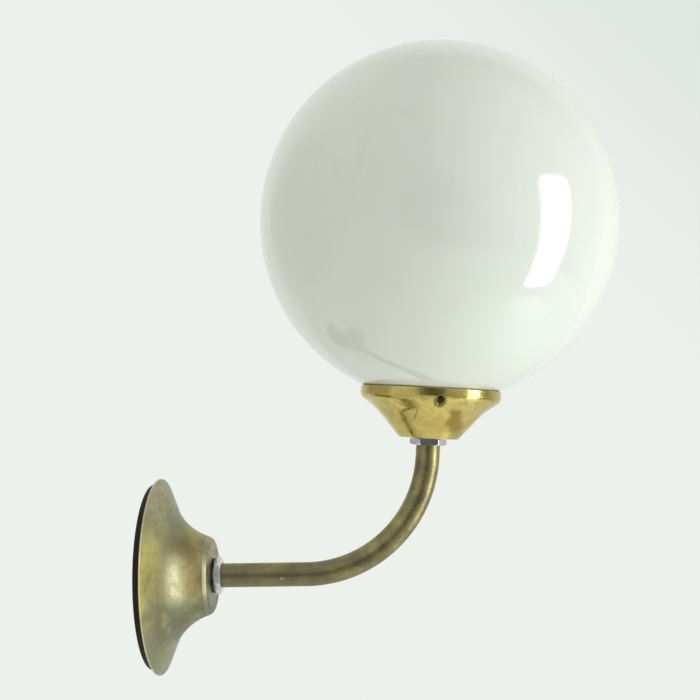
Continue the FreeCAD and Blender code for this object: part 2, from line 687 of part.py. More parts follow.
def rod(name, radius, length, x0, y0, z0, along="z"):
    solid = doc.addObject("Part::Cylinder", name)
    solid.Radius = num(radius)
    solid.Height = num(length)
    bind(solid, "Radius", radius)
    bind(solid, "Height", length)
    turn = Rotation(Vector(0, 1, 0), 90) if along == "x" else Rotation()
    solid.Placement = Placement(Vector(num(x0), num(y0), num(z0)), turn)
    for axis, value in (("x", x0), ("y", y0), ("z", z0)):
        bind(solid, "Placement.Base." + axis, value)
    return solid


def fuse(name, shapes):
    joined = doc.addObject("Part::MultiFuse", name)
    joined.Shapes = shapes
    return joined


def cut(name, base, tool):
    result = doc.addObject("Part::Cut", name)
    result.Base = base
    result.Tool = tool
    return result


def group(name, shapes):
    together = doc.addObject("Part::Compound", name)
    together.Links = shapes
    return together


POLES = [-1.0, 0.0, 1.0]
block_deep = S.strap_bridge_deep - S.strap_thick - S.block_low
screw_at = [S.block_in + 2.4, S.block_out - 2.4]
mid_x = (S.block_in + S.block_out) / 2.0

housing = box("block_housing", S.block_in, -S.block_half, S.block_low,
              S.block_out - S.block_in, S.block_half * 2.0, block_deep)
tools = [rod("block_fixing_way", 1.08, 20.0, mid_x, S.pole_pitch / 2.0, 0.0)]
for k in POLES:
    tools.append(rod("block_way", S.pole_rad + 0.02, S.block_out - S.block_in + 2.0,
                     S.block_in - 1.0, S.pole_pitch * k, S.pole_deep, "x"))
    for at in screw_at:
        tools.append(rod("block_driver_way", 1.55, S.pole_deep - 2.0, at,
                         S.pole_pitch * k, 2.0))
block = keep(cut("terminal_block", housing, fuse("block_ways", tools)), "terminal_block")
place_wall(block)

sleeves = []
for k in POLES:
    outer = rod("sleeve_outer", S.pole_rad, S.block_out - S.block_in - 1.6,
                S.block_in + 0.8, S.pole_pitch * k, S.pole_deep, "x")
    ways = [rod("sleeve_bore", 1.2, S.block_out - S.block_in,
                S.block_in, S.pole_pitch * k, S.pole_deep, "x")]
    for at in screw_at:
        ways.append(rod("sleeve_tapped", 1.03, 2.6, at, S.pole_pitch * k,
                        S.pole_deep - 2.6))
    sleeves.append(cut("sleeve", outer, fuse("sleeve_ways", ways)))
place_wall(keep(group("terminal_sleeves", sleeves), "terminal_sleeves"))

pins = []
for k in POLES:
    for at in screw_at:
        shank = rod("pole_screw", 1.0, 2.7, at, S.pole_pitch * k, S.pole_deep - 3.3)
        notch = box("pole_screw_slot", at - 1.5, S.pole_pitch * k - 0.2,
                    S.pole_deep - 3.4, 3.0, 0.4, 0.7)
        pins.append(cut("pole_screw_slotted", shank, notch))
place_wall(keep(group("terminal_screws", pins), "terminal_screws"))

head = doc.addObject("Part::Cone", "fixing_head")
head.Radius1, head.Radius2, head.Height = 1.5, 1.9, 1.3
head.Placement = Placement(Vector(mid_x.number, S.pole_pitch.number / 2.0,
                                  S.block_low.number - 1.3), Rotation())
bind(head, "Placement.Base.x", mid_x)
bind(head, "Placement.Base.y", S.pole_pitch / 2.0)
bind(head, "Placement.Base.z", S.block_low - 1.3)
shank = rod("fixing_shank", 1.0, S.strap_bridge_deep + 0.8 - S.block_low,
            mid_x, S.pole_pitch / 2.0, S.block_low)
slot = box("fixing_slot", mid_x - 2.5, S.pole_pitch / 2.0 - 0.25, S.block_low - 1.4,
           5.0, 0.5, 0.8)
screw = keep(cut("terminal_fixing_screw", fuse("fixing_blank", [head, shank]), slot),
             "terminal_fixing_screw")
place_wall(screw)

# ---------------------------------------------------------------------- earth
under = S.strap_bridge_deep - S.strap_thick
eyelet_mid = under - 1.25
blank = fuse("earth_eyelet_blank", [
    rod("earth_ring_outer", 2.7, 0.6, 0.0, S.earth_up, under - 0.6),
    rod("earth_barrel", 1.25, 2.3, 2.68, S.earth_up, eyelet_mid, "x")])
ring = cut("earth_ring", blank, fuse("earth_eyelet_ways", [
    rod("earth_ring_bore", 1.6, 2.0, 0.0, S.earth_up, under - 1.0),
    rod("earth_barrel_bore", 1.08, 3.0, 3.2, S.earth_up, eyelet_mid, "x")]))
keep(ring, "earth_eyelet")
place_wall(ring)
head = rod("earth_head", 2.55, 1.8, 0.0, S.earth_up, under - 2.4)
shank = rod("earth_shank", S.earth_screw_rad, S.strap_thick + 2.1, 0.0, S.earth_up,
            under - 0.6)
slot = box("earth_slot", -3.5, S.earth_up - 0.35, under - 2.5, 7.0, 0.7, 1.0)
screw = keep(cut("earth_screw", fuse("earth_blank", [head, shank]), slot), "earth_screw")
place_wall(screw)


# ---------------------------------------------------------------------- wires
def rounded_route(points, radii):
    """Straight runs joined by tangent arcs; radii: one for each inner point."""
    edges = []
    here = points[0]
    for i in range(1, len(points) - 1):
        a, b, c = points[i - 1], points[i], points[i + 1]
        back = (a - b).normalize()
        on = (c - b).normalize()
        turn = math.pi - back.getAngle(on)
        reach = radii[i - 1] * math.tan(turn / 2.0)
        enter, leave = b + back * reach, b + on * reach
        middle = (back + on).normalize()
        bulge = b + middle * (radii[i - 1] / math.cos(turn / 2.0) - radii[i - 1])
        if (enter - here).Length > 1e-6:
            edges.append(Part.LineSegment(here, enter).toShape())
        edges.append(Part.Arc(enter, bulge, leave).toShape())
        here = leave
    edges.append(Part.LineSegment(here, points[-1]).toShape())
    return edges


def wire_solid(name, edges, radius):
    spine = Part.Wire(edges)
    start = edges[0].valueAt(edges[0].FirstParameter)
    ahead = edges[0].tangentAt(edges[0].FirstParameter)
    ring = Part.Wire([Part.Circle(start, ahead, radius).toShape()])
    solid = spine.makePipeShell([ring], True, True)
    expected = math.pi * radius ** 2 * spine.Length
    if abs(solid.Volume / expected - 1.0) > 0.01:
        raise RuntimeError("%s: volume %.2f, section times length %.2f"
                           % (name, solid.Volume, expected))
    obj = doc.addObject("Part::Feature", name)
    obj.Shape = solid
    print(name, "length %.1f mm" % spine.Length)
    return keep(obj, name)


def sized(text):
    """Value of a cell of the sheet."""
    return float(sheet.get(text))


def arm_route(offset, lead_in, radii):
    """Route of a wire in the arm: offset is its distance from the centreline,
    towards the inside of the bend; lead_in is its part behind the arm."""
    bend = math.radians(sized("arm_bend_deg"))
    radius = sized("arm_bend_rad") - offset
    straight = sized("arm_straight")
    edges = rounded_route(lead_in + [Vector(0, offset, straight)], radii)
    centre = Vector(0, sized("arm_bend_rad"), straight)

    def on_arc(angle):
        return centre + Vector(0, -math.cos(angle) * radius, math.sin(angle) * radius)

    edges.append(Part.Arc(on_arc(0.0), on_arc(bend / 2.0), on_arc(bend)).toShape())
    ahead = Vector(0, math.sin(bend), math.cos(bend))
    rest = sized("arm_riser") + 15.0
    edges.append(Part.LineSegment(on_arc(bend), on_arc(bend) + ahead * rest).toShape())
    return edges


# filament: one bent wire standing on the stem, a leg at each side and a bow on top
wire = wire_solid("bulb_filament", rounded_route([
    Vector(-2.4, 0, 62.05), Vector(-2.4, 0, 67.0), Vector(-6.0, 0, 80.0), Vector(0, 0, 88.0),
    Vector(6.0, 0, 80.0), Vector(2.4, 0, 67.0), Vector(2.4, 0, 62.05)],
    [5.0, 4.0, 4.0, 4.0, 5.0]), 0.25)
place_lamp(wire)

# local wall frame: x, up, distance from the wall
off = sized("wire_off")
side = sized("block_in") + 1.2
pole = sized("pole_deep")
pitch = sized("pole_pitch")
up = sized("earth_up")
lug = sized("strap_bridge_deep") - sized("strap_thick") - 1.25
wire = wire_solid("wire_live", arm_route(off, [
    Vector(side, 0.0, pole), Vector(6.6, 0.0, pole), Vector(3.6, 0.75, 2.7),
    Vector(0.0, off, 2.3)], [3.0, 2.5, 2.3]), sized("wire_rad"))
place_wall(wire)
wire = wire_solid("wire_neutral", arm_route(-off, [
    Vector(side, -pitch, pole), Vector(6.6, -pitch, pole), Vector(4.2, -3.6, 2.9),
    Vector(0.0, -off, 2.2)], [3.0, 2.5, 2.3]), sized("wire_rad"))
place_wall(wire)
wire = wire_solid("earth_lead", rounded_route([
    Vector(side, pitch, pole), Vector(7.3, pitch, pole), Vector(6.9, up, lug),
    Vector(3.4, up, lug)], [2.0, 1.9]), sized("wire_rad"))
place_wall(wire)
print("wire bend radii (mm): 3.0 2.5 2.3, earth 2.0 1.9, in the arm",
      sized("arm_bend_rad") - off, sized("arm_bend_rad") + off)

# --------------------------------------------------------------------- checks
doc.recompute()
faults = []
for obj in doc.Objects:
    if "Invalid" in obj.State or "Error" in obj.State:
        faults.append("%s (%s): %s" % (obj.Name, obj.Label, obj.State))
names = set()
for obj in PARTS:
    shape = obj.Shape
    if shape.isNull() or not shape.isValid():
        faults.append("%s: shape null or not valid" % obj.Label)
        continue
    if obj.Label in names or len(obj.Label) > 59:
        faults.append("%s: bad name" % obj.Label)
    names.add(obj.Label)
    bad = [solid for solid in shape.Solids if solid.Volume <= 0.0]
    if not shape.Solids or bad:
        faults.append("%s: no solid" % obj.Label)
if faults:
    raise RuntimeError("; ".join(faults))

os.makedirs("parts", exist_ok=True)
for obj in PARTS:
    obj.Shape.exportStep("parts/%s.step" % obj.Label)
    bb = obj.Shape.BoundBox
    print("%-24s %d solid(s) %10.1f mm3  x %.1f..%.1f  y %.1f..%.1f  z %.1f..%.1f"
          % (obj.Label, len(obj.Shape.Solids), obj.Shape.Volume, bb.XMin, bb.XMax,
             bb.YMin, bb.YMax, bb.ZMin, bb.ZMax))
print(len(PARTS), "pieces written")
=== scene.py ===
"""Globe wall sconce: brass bell and swept arm, turned cup, opal glass globe."""

import math

import bmesh
import bpy
import numpy as np
from mathutils import Matrix, Vector


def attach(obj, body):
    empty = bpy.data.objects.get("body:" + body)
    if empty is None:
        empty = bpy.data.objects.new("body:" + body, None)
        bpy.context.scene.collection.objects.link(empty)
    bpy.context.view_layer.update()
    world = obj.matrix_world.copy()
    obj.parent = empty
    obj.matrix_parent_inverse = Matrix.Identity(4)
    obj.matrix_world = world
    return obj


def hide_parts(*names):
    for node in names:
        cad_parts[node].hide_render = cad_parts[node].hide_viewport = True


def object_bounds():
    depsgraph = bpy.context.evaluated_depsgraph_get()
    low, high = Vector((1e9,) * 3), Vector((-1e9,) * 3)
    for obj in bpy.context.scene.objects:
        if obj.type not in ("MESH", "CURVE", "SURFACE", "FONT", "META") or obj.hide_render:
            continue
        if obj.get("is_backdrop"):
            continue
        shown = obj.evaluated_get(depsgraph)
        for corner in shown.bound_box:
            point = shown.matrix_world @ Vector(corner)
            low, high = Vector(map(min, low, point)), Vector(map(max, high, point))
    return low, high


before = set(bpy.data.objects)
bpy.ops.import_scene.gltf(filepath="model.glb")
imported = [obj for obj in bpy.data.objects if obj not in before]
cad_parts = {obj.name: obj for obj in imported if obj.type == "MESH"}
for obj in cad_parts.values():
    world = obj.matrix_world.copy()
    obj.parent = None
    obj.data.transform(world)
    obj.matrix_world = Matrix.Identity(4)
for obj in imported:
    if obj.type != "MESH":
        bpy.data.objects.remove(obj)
cad_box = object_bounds()

# ------------------------------------------------------------------ local frames
# Lengths in this script are millimetres until a mesh is made.
LEAN = math.radians(4.4)


class Place:
    def __init__(self, origin, x, y, z):
        self.origin = np.array(origin, float)
        self.axes = np.array([x, y, z], float)

    def out(self, points):
        return self.origin + np.asarray(points, float) @ self.axes

    def back(self, points):
        return (np.asarray(points, float) - self.origin) @ self.axes.T


WALL = Place((0, 0, 0), (1, 0, 0), (0, 0, 1), (0, -1, 0))
LAMP_ORIGIN = (0.0, -117.2375, 55.6879)
LAMP = Place(LAMP_ORIGIN, (1, 0, 0), (0, math.cos(LEAN), math.sin(LEAN)),
             (0, -math.sin(LEAN), math.cos(LEAN)))


def node_points(node, place):
    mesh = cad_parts[node].data
    flat = np.zeros(len(mesh.vertices) * 3)
    mesh.vertices.foreach_get("co", flat)
    return place.back(flat.reshape(-1, 3) * 1000.0)


# ------------------------------------------------------------------ mesh builders
def make_mesh(name, verts, faces, wear=None, sharp=32.0):
    mesh = bpy.data.meshes.new(name)
    mesh.from_pydata([tuple(v * 0.001) for v in np.asarray(verts, float)], [], faces)
    bm = bmesh.new()
    bm.from_mesh(mesh)
    bmesh.ops.recalc_face_normals(bm, faces=bm.faces[:])
    bm.to_mesh(mesh)
    bm.free()
    mesh.polygons.foreach_set("use_smooth", [True] * len(mesh.polygons))
    mesh.set_sharp_from_angle(angle=math.radians(sharp))
    values = mesh.attributes.new("wear", "FLOAT", "POINT")
    if wear is not None:
        values.data.foreach_set("value", np.asarray(wear, np.float32))
    mesh.update()
    obj = bpy.data.objects.new(name, mesh)
    bpy.context.scene.collection.objects.link(obj)
    return obj


def arc_points(p, q, radius, side, step=4.0):
    """Points between p and q, both left out, on the short arc that bends to that side."""
    p, q = np.array(p, float), np.array(q, float)
    chord = q - p
    length = np.hypot(*chord)
    left = np.array([-chord[1], chord[0]]) / length
    sign = 1.0 if side == "left" else -1.0
    centre = (p + q) / 2 + left * sign * math.sqrt(max(radius ** 2 - length ** 2 / 4, 0))
    a0 = math.atan2(*(p - centre)[::-1])
    a1 = math.atan2(*(q - centre)[::-1])
    turn = (a1 - a0) % (2 * math.pi)
    if side == "right":
        turn -= 2 * math.pi
    count = max(3, int(abs(math.degrees(turn)) / step))
    return [centre + radius * np.array([math.cos(a0 + turn * k / count),
                                        math.sin(a0 + turn * k / count)])
            for k in range(1, count)]


def rounded(profile, radius=0.18, fade=0.9, step=4.0):
    """A closed outline of (r, h) or (r, h, arc radius, side) as points (r, h, wear) with every corner rounded."""
    pts = []
    for k, item in enumerate(profile):
        nxt = profile[(k + 1) % len(profile)]
        pts.append((np.array(item[:2], float), True))
        if len(item) == 4:
            pts += [(p, False) for p in arc_points(item[:2], nxt[:2], item[2], item[3], step)]
    area = sum(pts[k][0][0] * pts[(k + 1) % len(pts)][0][1]
               - pts[(k + 1) % len(pts)][0][0] * pts[k][0][1] for k in range(len(pts)))
    out = []
    for k, (p, corner) in enumerate(pts):
        a, b = pts[k - 1][0], pts[(k + 1) % len(pts)][0]
        da, db = a - p, b - p
        la, lb = np.hypot(*da), np.hypot(*db)
        da, db = da / la, db / lb
        bend = math.degrees(math.acos(max(-1, min(1, -(da @ db)))))
        if not corner or bend < 9 or p[0] < 1e-6 or a[0] + b[0] < 1e-6:
            out.append((p[0], p[1], 0.0))
            continue
        turn = -da[0] * db[1] + da[1] * db[0]
        convex = 1.0 if turn * area > 0 else 0.0
        cut = min(radius * math.tan(math.radians(bend / 2)), 0.4 * la, 0.4 * lb)
        start, end = p + da * cut, p + db * cut
        near, far = min(fade, 0.45 * la), min(fade, 0.45 * lb)
        if near > cut * 1.3:
            out.append((*(p + da * near), 0.0))
        for j in range(5):
            t = j / 4.0
            w = (1 - t) ** 2 * start + 2 * t * (1 - t) * p + t * t * end
            out.append((w[0], w[1], convex * (0.6 + 0.4 * (1 - abs(2 * t - 1)))))
        if far > cut * 1.3:
            out.append((*(p + db * far), 0.0))
    return out


def turned(name, points, place, steps=192, shape=None, sharp=32.0):
    """A turned piece: the closed outline goes once round local Z. shape changes a radius by angle and height."""
    verts, rows, wear = [], [], []
    angles = [2 * math.pi * k / steps for k in range(steps)]
    for r, h, w in points:
        if r < 1e-6:
            rows.append([len(verts)])
            verts.append((0.0, 0.0, h))
            wear.append(w)
            continue
        row = []
        for a in angles:
            rr = shape(r, h, a) if shape else r
            row.append(len(verts))
            verts.append((rr * math.cos(a), rr * math.sin(a), h))
            wear.append(w)
        rows.append(row)
    faces = []
    for k in range(len(rows)):
        a, b = rows[k], rows[(k + 1) % len(rows)]
        if len(a) == 1 and len(b) == 1:
            continue
        for j in range(steps):
            i = (j + 1) % steps
            if len(a) == 1:
                faces.append((a[0], b[i], b[j]))
            elif len(b) == 1:
                faces.append((a[j], a[i], b[0]))
            else:
                faces.append((a[j], a[i], b[i], b[j]))
    return make_mesh(name, place.out(verts), faces, wear, sharp)


def hexagon_nut(name, node, place, chamfer=30.0, per_side=16):
    """A hexagon nut with cone-chamfered ends and chamfered bore, where the CAD nut is."""
    local = node_points(node, place)
    radii = np.hypot(local[:, 0], local[:, 1])
    low, high, bore, corner = local[:, 2].min(), local[:, 2].max(), radii.min(), radii.max()
    far = local[radii.argmax()]
    phase = math.atan2(far[1], far[0])
    flat = corner * math.cos(math.radians(30))
    slope = math.tan(math.radians(chamfer))
    ring = flat * 0.985
    verts, wear, rows = [], [], [[] for _ in range(11)]
    angles = []
    for side in range(6):
        for k in range(per_side):
            # columns crowd towards the corners
            t = 0.5 - 0.5 * math.cos(math.pi * k / per_side)
            angles.append(math.radians(60) * (side + t))
    for a in angles:
        local_angle = (a + math.radians(30)) % math.radians(60) - math.radians(30)
        away = math.radians(30) - abs(local_angle)
        r_hex = flat / math.cos(away)
        r_hex = min(r_hex, corner - 0.05)
        drop = max(0.02, (r_hex - ring) * slope)
        edge = max(0.0, 1 - abs(math.degrees(local_angle)) / 1.6)
        outline = [
            (bore + 0.45, low, 0.2), (ring, low, 0.5), (r_hex, low + drop, 1.0),
            (r_hex, low + drop + 0.18, edge), (r_hex, (low + high) / 2, edge),
            (r_hex, high - drop - 0.18, edge), (r_hex, high - drop, 1.0),
            (ring, high, 0.5), (bore + 0.45, high, 0.2), (bore, high - 0.4, 0.0),
            (bore, low + 0.4, 0.0)]
        for row, (r, h, w) in zip(rows, outline):
            row.append(len(verts))
            verts.append((r * math.cos(a + phase), r * math.sin(a + phase), h))
            wear.append(w)
    count, faces = len(angles), []
    for k in range(len(rows)):
        a, b = rows[k], rows[(k + 1) % len(rows)]
        for j in range(count):
            i = (j + 1) % count
            faces.append((a[j], a[i], b[i], b[j]))
    return make_mesh(name, place.out(verts), faces, wear, 18.0)


def plain_ring(name, node, place, rounding=0.15, steps=128):
    """A washer or ring with rounded edges, where the CAD one is."""
    local = node_points(node, place)
    radii = np.hypot(local[:, 0], local[:, 1])
    low, high, inner, outer = local[:, 2].min(), local[:, 2].max(), radii.min(), radii.max()
    return turned(name, rounded([(inner, low), (outer, low), (outer, high), (inner, high)],
                                rounding, 0.4), place, steps)


def finish_piece(obj, body, slot, material, *nodes):
    obj.data.materials.clear()
    obj.data.materials.append(material)
    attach(obj, body)
    if nodes:
        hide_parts(*nodes)
    return obj


# ---------------------------------------------------------------------- materials
class Surface:
    """A node material. Its vectors are millimetres in the object's own space."""

    def __init__(self, name):
        self.mat = bpy.data.materials.new(name)
        self.mat.use_nodes = True
        self.tree = self.mat.node_tree
        self.tree.nodes.clear()
        self.exit = self.add("ShaderNodeOutputMaterial")
        self.bsdf = self.add("ShaderNodeBsdfPrincipled")
        self.link(self.bsdf.outputs[0], self.exit.inputs["Surface"])
        coords = self.add("ShaderNodeTexCoord")
        scale = self.add("ShaderNodeVectorMath")
        scale.operation = "SCALE"
        scale.inputs["Scale"].default_value = 1000.0
        self.link(coords.outputs["Object"], scale.inputs[0])
        self.mm = scale.outputs[0]
        self.normal = None

    def add(self, kind):
        return self.tree.nodes.new(kind)

    def link(self, a, b):
        self.tree.links.new(a, b)

    def put(self, value, socket):
        if isinstance(value, bpy.types.NodeSocket):
            self.link(value, socket)
        elif isinstance(value, (tuple, list)):
            socket.default_value = tuple(value) + (1.0,) * (len(socket.default_value) - len(value))
        else:
            socket.default_value = value

    def place(self, place, stretch=(1, 1, 1)):
        """The vector in a local frame, then stretched."""
        node = self.add("ShaderNodeMapping")
        node.vector_type = "TEXTURE"
        node.inputs["Location"].default_value = tuple(place.origin)
        turn = Matrix([list(a) for a in place.axes]).transposed().to_euler()
        node.inputs["Rotation"].default_value = tuple(turn)
        node.inputs["Scale"].default_value = tuple(1.0 / s for s in stretch)
        self.link(self.mm, node.inputs["Vector"])
        return node.outputs[0]

    def rings(self, place, across=1.0, along=1.0):
        """(distance from the axis, height, 0) in a local frame: noise on it runs round the piece."""
        sep = self.add("ShaderNodeSeparateXYZ")
        self.link(self.place(place), sep.inputs[0])
        square = self.math("SQRT", self.math("ADD", self.math("MULTIPLY", sep.outputs[0], sep.outputs[0]),
                                             self.math("MULTIPLY", sep.outputs[1], sep.outputs[1])))
        join = self.add("ShaderNodeCombineXYZ")
        self.link(self.math("MULTIPLY", square, across), join.inputs[0])
        self.link(self.math("MULTIPLY", sep.outputs[2], along), join.inputs[1])
        angle = self.math("ARCTAN2", sep.outputs[1], sep.outputs[0])
        self.link(self.math("MULTIPLY", self.math("ABSOLUTE", angle), 0.35), join.inputs[2])
        return join.outputs[0]

    def math(self, kind, a, b=0.0, clamp=False):
        node = self.add("ShaderNodeMath")
        node.operation = kind
        node.use_clamp = clamp
        self.put(a, node.inputs[0])
        self.put(b, node.inputs[1])
        return node.outputs[0]

    def noise(self, scale, detail=4.0, rough=0.55, vector=None, warp=0.0):
        node = self.add("ShaderNodeTexNoise")
        node.inputs["Scale"].default_value = scale
        node.inputs["Detail"].default_value = detail
        node.inputs["Roughness"].default_value = rough
        node.inputs["Distortion"].default_value = warp
        self.link(vector or self.mm, node.inputs["Vector"])
        return node.outputs["Fac"]

    def spots(self, scale, low, high, vector=None):
        """1 in small round spots, 0 elsewhere."""
        node = self.add("ShaderNodeTexVoronoi")
        node.inputs["Scale"].default_value = scale
        self.link(vector or self.mm, node.inputs["Vector"])
        return self.remap(node.outputs["Distance"], high, low)

    def remap(self, value, low, high, to_low=0.0, to_high=1.0):
        node = self.add("ShaderNodeMapRange")
        node.interpolation_type = "SMOOTHSTEP"
        self.put(value, node.inputs["Value"])
        for key, number in (("From Min", low), ("From Max", high),
                            ("To Min", to_low), ("To Max", to_high)):
            node.inputs[key].default_value = number
        if low > high:
            node.inputs["From Min"].default_value = high
            node.inputs["From Max"].default_value = low
            node.inputs["To Min"].default_value = to_high
            node.inputs["To Max"].default_value = to_low
        return node.outputs["Result"]

    def mix(self, factor, a, b):
        node = self.add("ShaderNodeMix")
        node.data_type = "RGBA"
        self.put(factor, node.inputs[0])
        self.put(a, node.inputs[6])
        self.put(b, node.inputs[7])
        return node.outputs[2]

    def wear(self):
        node = self.add("ShaderNodeAttribute")
        node.attribute_name = "wear"
        return node.outputs["Fac"]

    def bump(self, height, distance, strength=1.0):
        node = self.add("ShaderNodeBump")
        node.inputs["Strength"].default_value = strength
        node.inputs["Distance"].default_value = distance * 0.001
        self.link(height, node.inputs["Height"])
        if self.normal is not None:
            self.link(self.normal, node.inputs["Normal"])
        self.normal = node.outputs[0]
        return self

    def done(self, colour, rough, **constants):
        self.put(colour, self.bsdf.inputs["Base Color"])
        self.put(rough, self.bsdf.inputs["Roughness"])
        for key, value in constants.items():
            self.put(value, self.bsdf.inputs[key.replace("_", " ")])
        if self.normal is not None:
            self.link(self.normal, self.bsdf.inputs["Normal"])
        return self.mat


def aged_metal(name, base, dark, pale, rough, place=None, blotch=0.05, mottle=0.33, streaks=0.25,
               specks=0.4, line=None, spread=0.12, bump=0.012, soft=0.0, warp=0.6):
    """Turned or drawn metal with patina blotches, fine mottling, working marks, specks and paler worn edges."""
    s = Surface(name)
    marks = s.rings(place, 1.0, 1.0) if place is not None else s.mm
    large = s.remap(s.noise(blotch, 4, 0.6, warp=warp), 0.36 - soft, 0.66 + soft)
    fine = s.noise(mottle, 8, 0.68)
    lines = s.noise(line or 5.0, 3, 0.7, marks)
    colour = s.mix(large, dark, base)
    colour = s.mix(s.remap(fine, 0.38, 0.72, 0.0, 0.55), colour, tuple(c * 0.62 for c in base))
    colour = s.mix(s.remap(lines, 0.45, 0.75, 0.0, streaks), colour, pale)
    dots = s.math("MULTIPLY", s.spots(0.32, 0.06, 0.17), s.remap(s.noise(0.12, 2), 0.5, 0.62))
    colour = s.mix(s.math("MULTIPLY", dots, specks), colour, tuple(c * 0.35 for c in dark))
    worn = s.math("MULTIPLY", s.wear(), s.remap(s.noise(0.7, 5, 0.7), 0.3, 0.6, 0.35, 0.95))
    colour = s.mix(worn, colour, pale)
    level = s.math("ADD", s.remap(fine, 0.3, 0.75, rough - spread * 0.5, rough + spread),
                   s.remap(lines, 0.3, 0.8, -0.03, 0.05))
    level = s.math("SUBTRACT", level, s.math("MULTIPLY", worn, 0.08))
    s.bump(s.noise(1.6, 6, 0.7), bump)
    s.bump(lines, bump * 0.5)
    s.bump(dots, -bump * 0.8)
    return s, colour, level


def finish_metal(made, **constants):
    s, colour, level = made
    return s.done(colour, level, Metallic=1.0, **constants)


def strokes(s, colour, level, place, marks, pale, depth=0.01):
    """Single scratches: each is (start, end, half width), in a local frame."""
    where = s.place(place)
    total = None
    for start, end, half in marks:
        a, b = Vector(start), Vector(end)
        d = b - a
        sub = s.add("ShaderNodeVectorMath")
        sub.operation = "SUBTRACT"
        s.link(where, sub.inputs[0])
        sub.inputs[1].default_value = a
        dot = s.add("ShaderNodeVectorMath")
        dot.operation = "DOT_PRODUCT"
        s.link(sub.outputs[0], dot.inputs[0])
        dot.inputs[1].default_value = d / d.length_squared
        share = s.math("MINIMUM", s.math("MAXIMUM", dot.outputs["Value"], 0.0), 1.0)
        back = s.add("ShaderNodeVectorMath")
        back.operation = "SCALE"
        back.inputs[0].default_value = d
        s.link(share, back.inputs["Scale"])
        off = s.add("ShaderNodeVectorMath")
        off.operation = "DISTANCE"
        s.link(sub.outputs[0], off.inputs[0])
        s.link(back.outputs[0], off.inputs[1])
        wobble = s.math("ADD", off.outputs["Value"], s.remap(s.noise(2.4, 3), 0.2, 0.8, -half * 0.5, half * 0.5))
        one = s.remap(wobble, half, half * 0.35)
        total = one if total is None else s.math("MAXIMUM", total, one)
    colour = s.mix(s.math("MULTIPLY", total, 0.75), colour, pale)
    s.bump(total, -depth)
    return s, colour, level


def bell_brass():
    """Satin brass gone olive grey, with soft golden patches low on the flare, an amber zone round the collar, a
    painted shade low on the flare below the axis and pale worn edges bright enough to add a painted highlight on
    the collar crease.
    """
    # the pale colour for worn edges and turning lines is set bright, so the worn collar crease also carries a
    # painted highlight
    s, colour, level = aged_metal(
        "aged_brass", (0.42, 0.39, 0.225), (0.28, 0.27, 0.165), (0.78, 0.72, 0.45), 0.40, WALL,
        blotch=0.05, mottle=0.35, streaks=0.16, specks=0.5, line=3.2, spread=0.10)
    sep = s.add("ShaderNodeSeparateXYZ")
    s.link(s.place(WALL), sep.inputs[0])
    rise, height = sep.outputs[1], sep.outputs[2]
    patch = s.noise(0.055, 3, 0.5, warp=0.5)
    grain = s.noise(0.9, 6, 0.7)
    gold = s.math("MULTIPLY", s.remap(patch, 0.30, 0.68), s.remap(height, 14.0, 6.0))
    gold = s.math("MULTIPLY", gold, s.math("MULTIPLY", s.remap(rise, 27.0, 6.0), s.remap(rise, -22.0, -9.0)))
    gold = s.math("MULTIPLY", gold, s.remap(grain, 0.25, 0.6, 0.65, 1.0))
    colour = s.mix(gold, colour, (0.84, 0.71, 0.205))
    amber = s.math("MULTIPLY", s.remap(s.noise(0.08, 3, 0.5, warp=0.5), 0.33, 0.62),
                   s.math("MULTIPLY", s.remap(height, 12.5, 20.0), s.remap(height, 24.5, 21.5)))
    colour = s.mix(s.math("MULTIPLY", amber, 0.75), colour, (0.50, 0.375, 0.135))
    brown = s.math("MULTIPLY", s.remap(s.noise(0.10, 4, 0.6, warp=0.5), 0.42, 0.68),
                   s.remap(height, 9.0, 17.0))
    colour = s.mix(s.math("MULTIPLY", brown, 0.6), colour, (0.22, 0.185, 0.095))
    # painted shade: a dark olive zone on the flare below the axis, near the wall
    painted_shade_flare = s.math("MULTIPLY", s.math("MULTIPLY", s.remap(rise, -4.0, -13.0), s.remap(rise, -30.0, -20.0)),
                  s.math("MULTIPLY", s.remap(height, 3.0, 9.0), s.remap(s.noise(0.14, 4, 0.6), 0.20, 0.55)))
    colour = s.mix(s.math("MULTIPLY", painted_shade_flare, 0.90), colour, (0.185, 0.185, 0.115))
    s.bump(s.noise(0.35, 3, 0.5), 0.02)
    return finish_metal((s, colour, level))


canopy_brass = bell_brass()


def arm_surface():
    """Drawn brass tube, darker olive brown along the run at the wall and more golden up the bend."""
    s, colour, level = aged_metal(
        "arm_brass", (0.40, 0.34, 0.150), (0.18, 0.160, 0.090), (0.62, 0.55, 0.32), 0.36, None,
        blotch=0.13, mottle=0.75, streaks=0.12, specks=0.7, line=1.6, spread=0.14, soft=0.09, warp=0.3)
    sep = s.add("ShaderNodeSeparateXYZ")
    s.link(s.place(WALL), sep.inputs[0])
    # the colour turns darker olive brown along the low run by the wall and stays lighter up the bend
    run_height = s.math("ADD", sep.outputs[1], s.remap(s.noise(0.07, 3, 0.5), 0.2, 0.8, -9.0, 9.0))
    colour = s.mix(s.remap(run_height, 12.0, -2.0, 0.0, 0.55), colour, (0.165, 0.155, 0.098))
    return s, colour, level


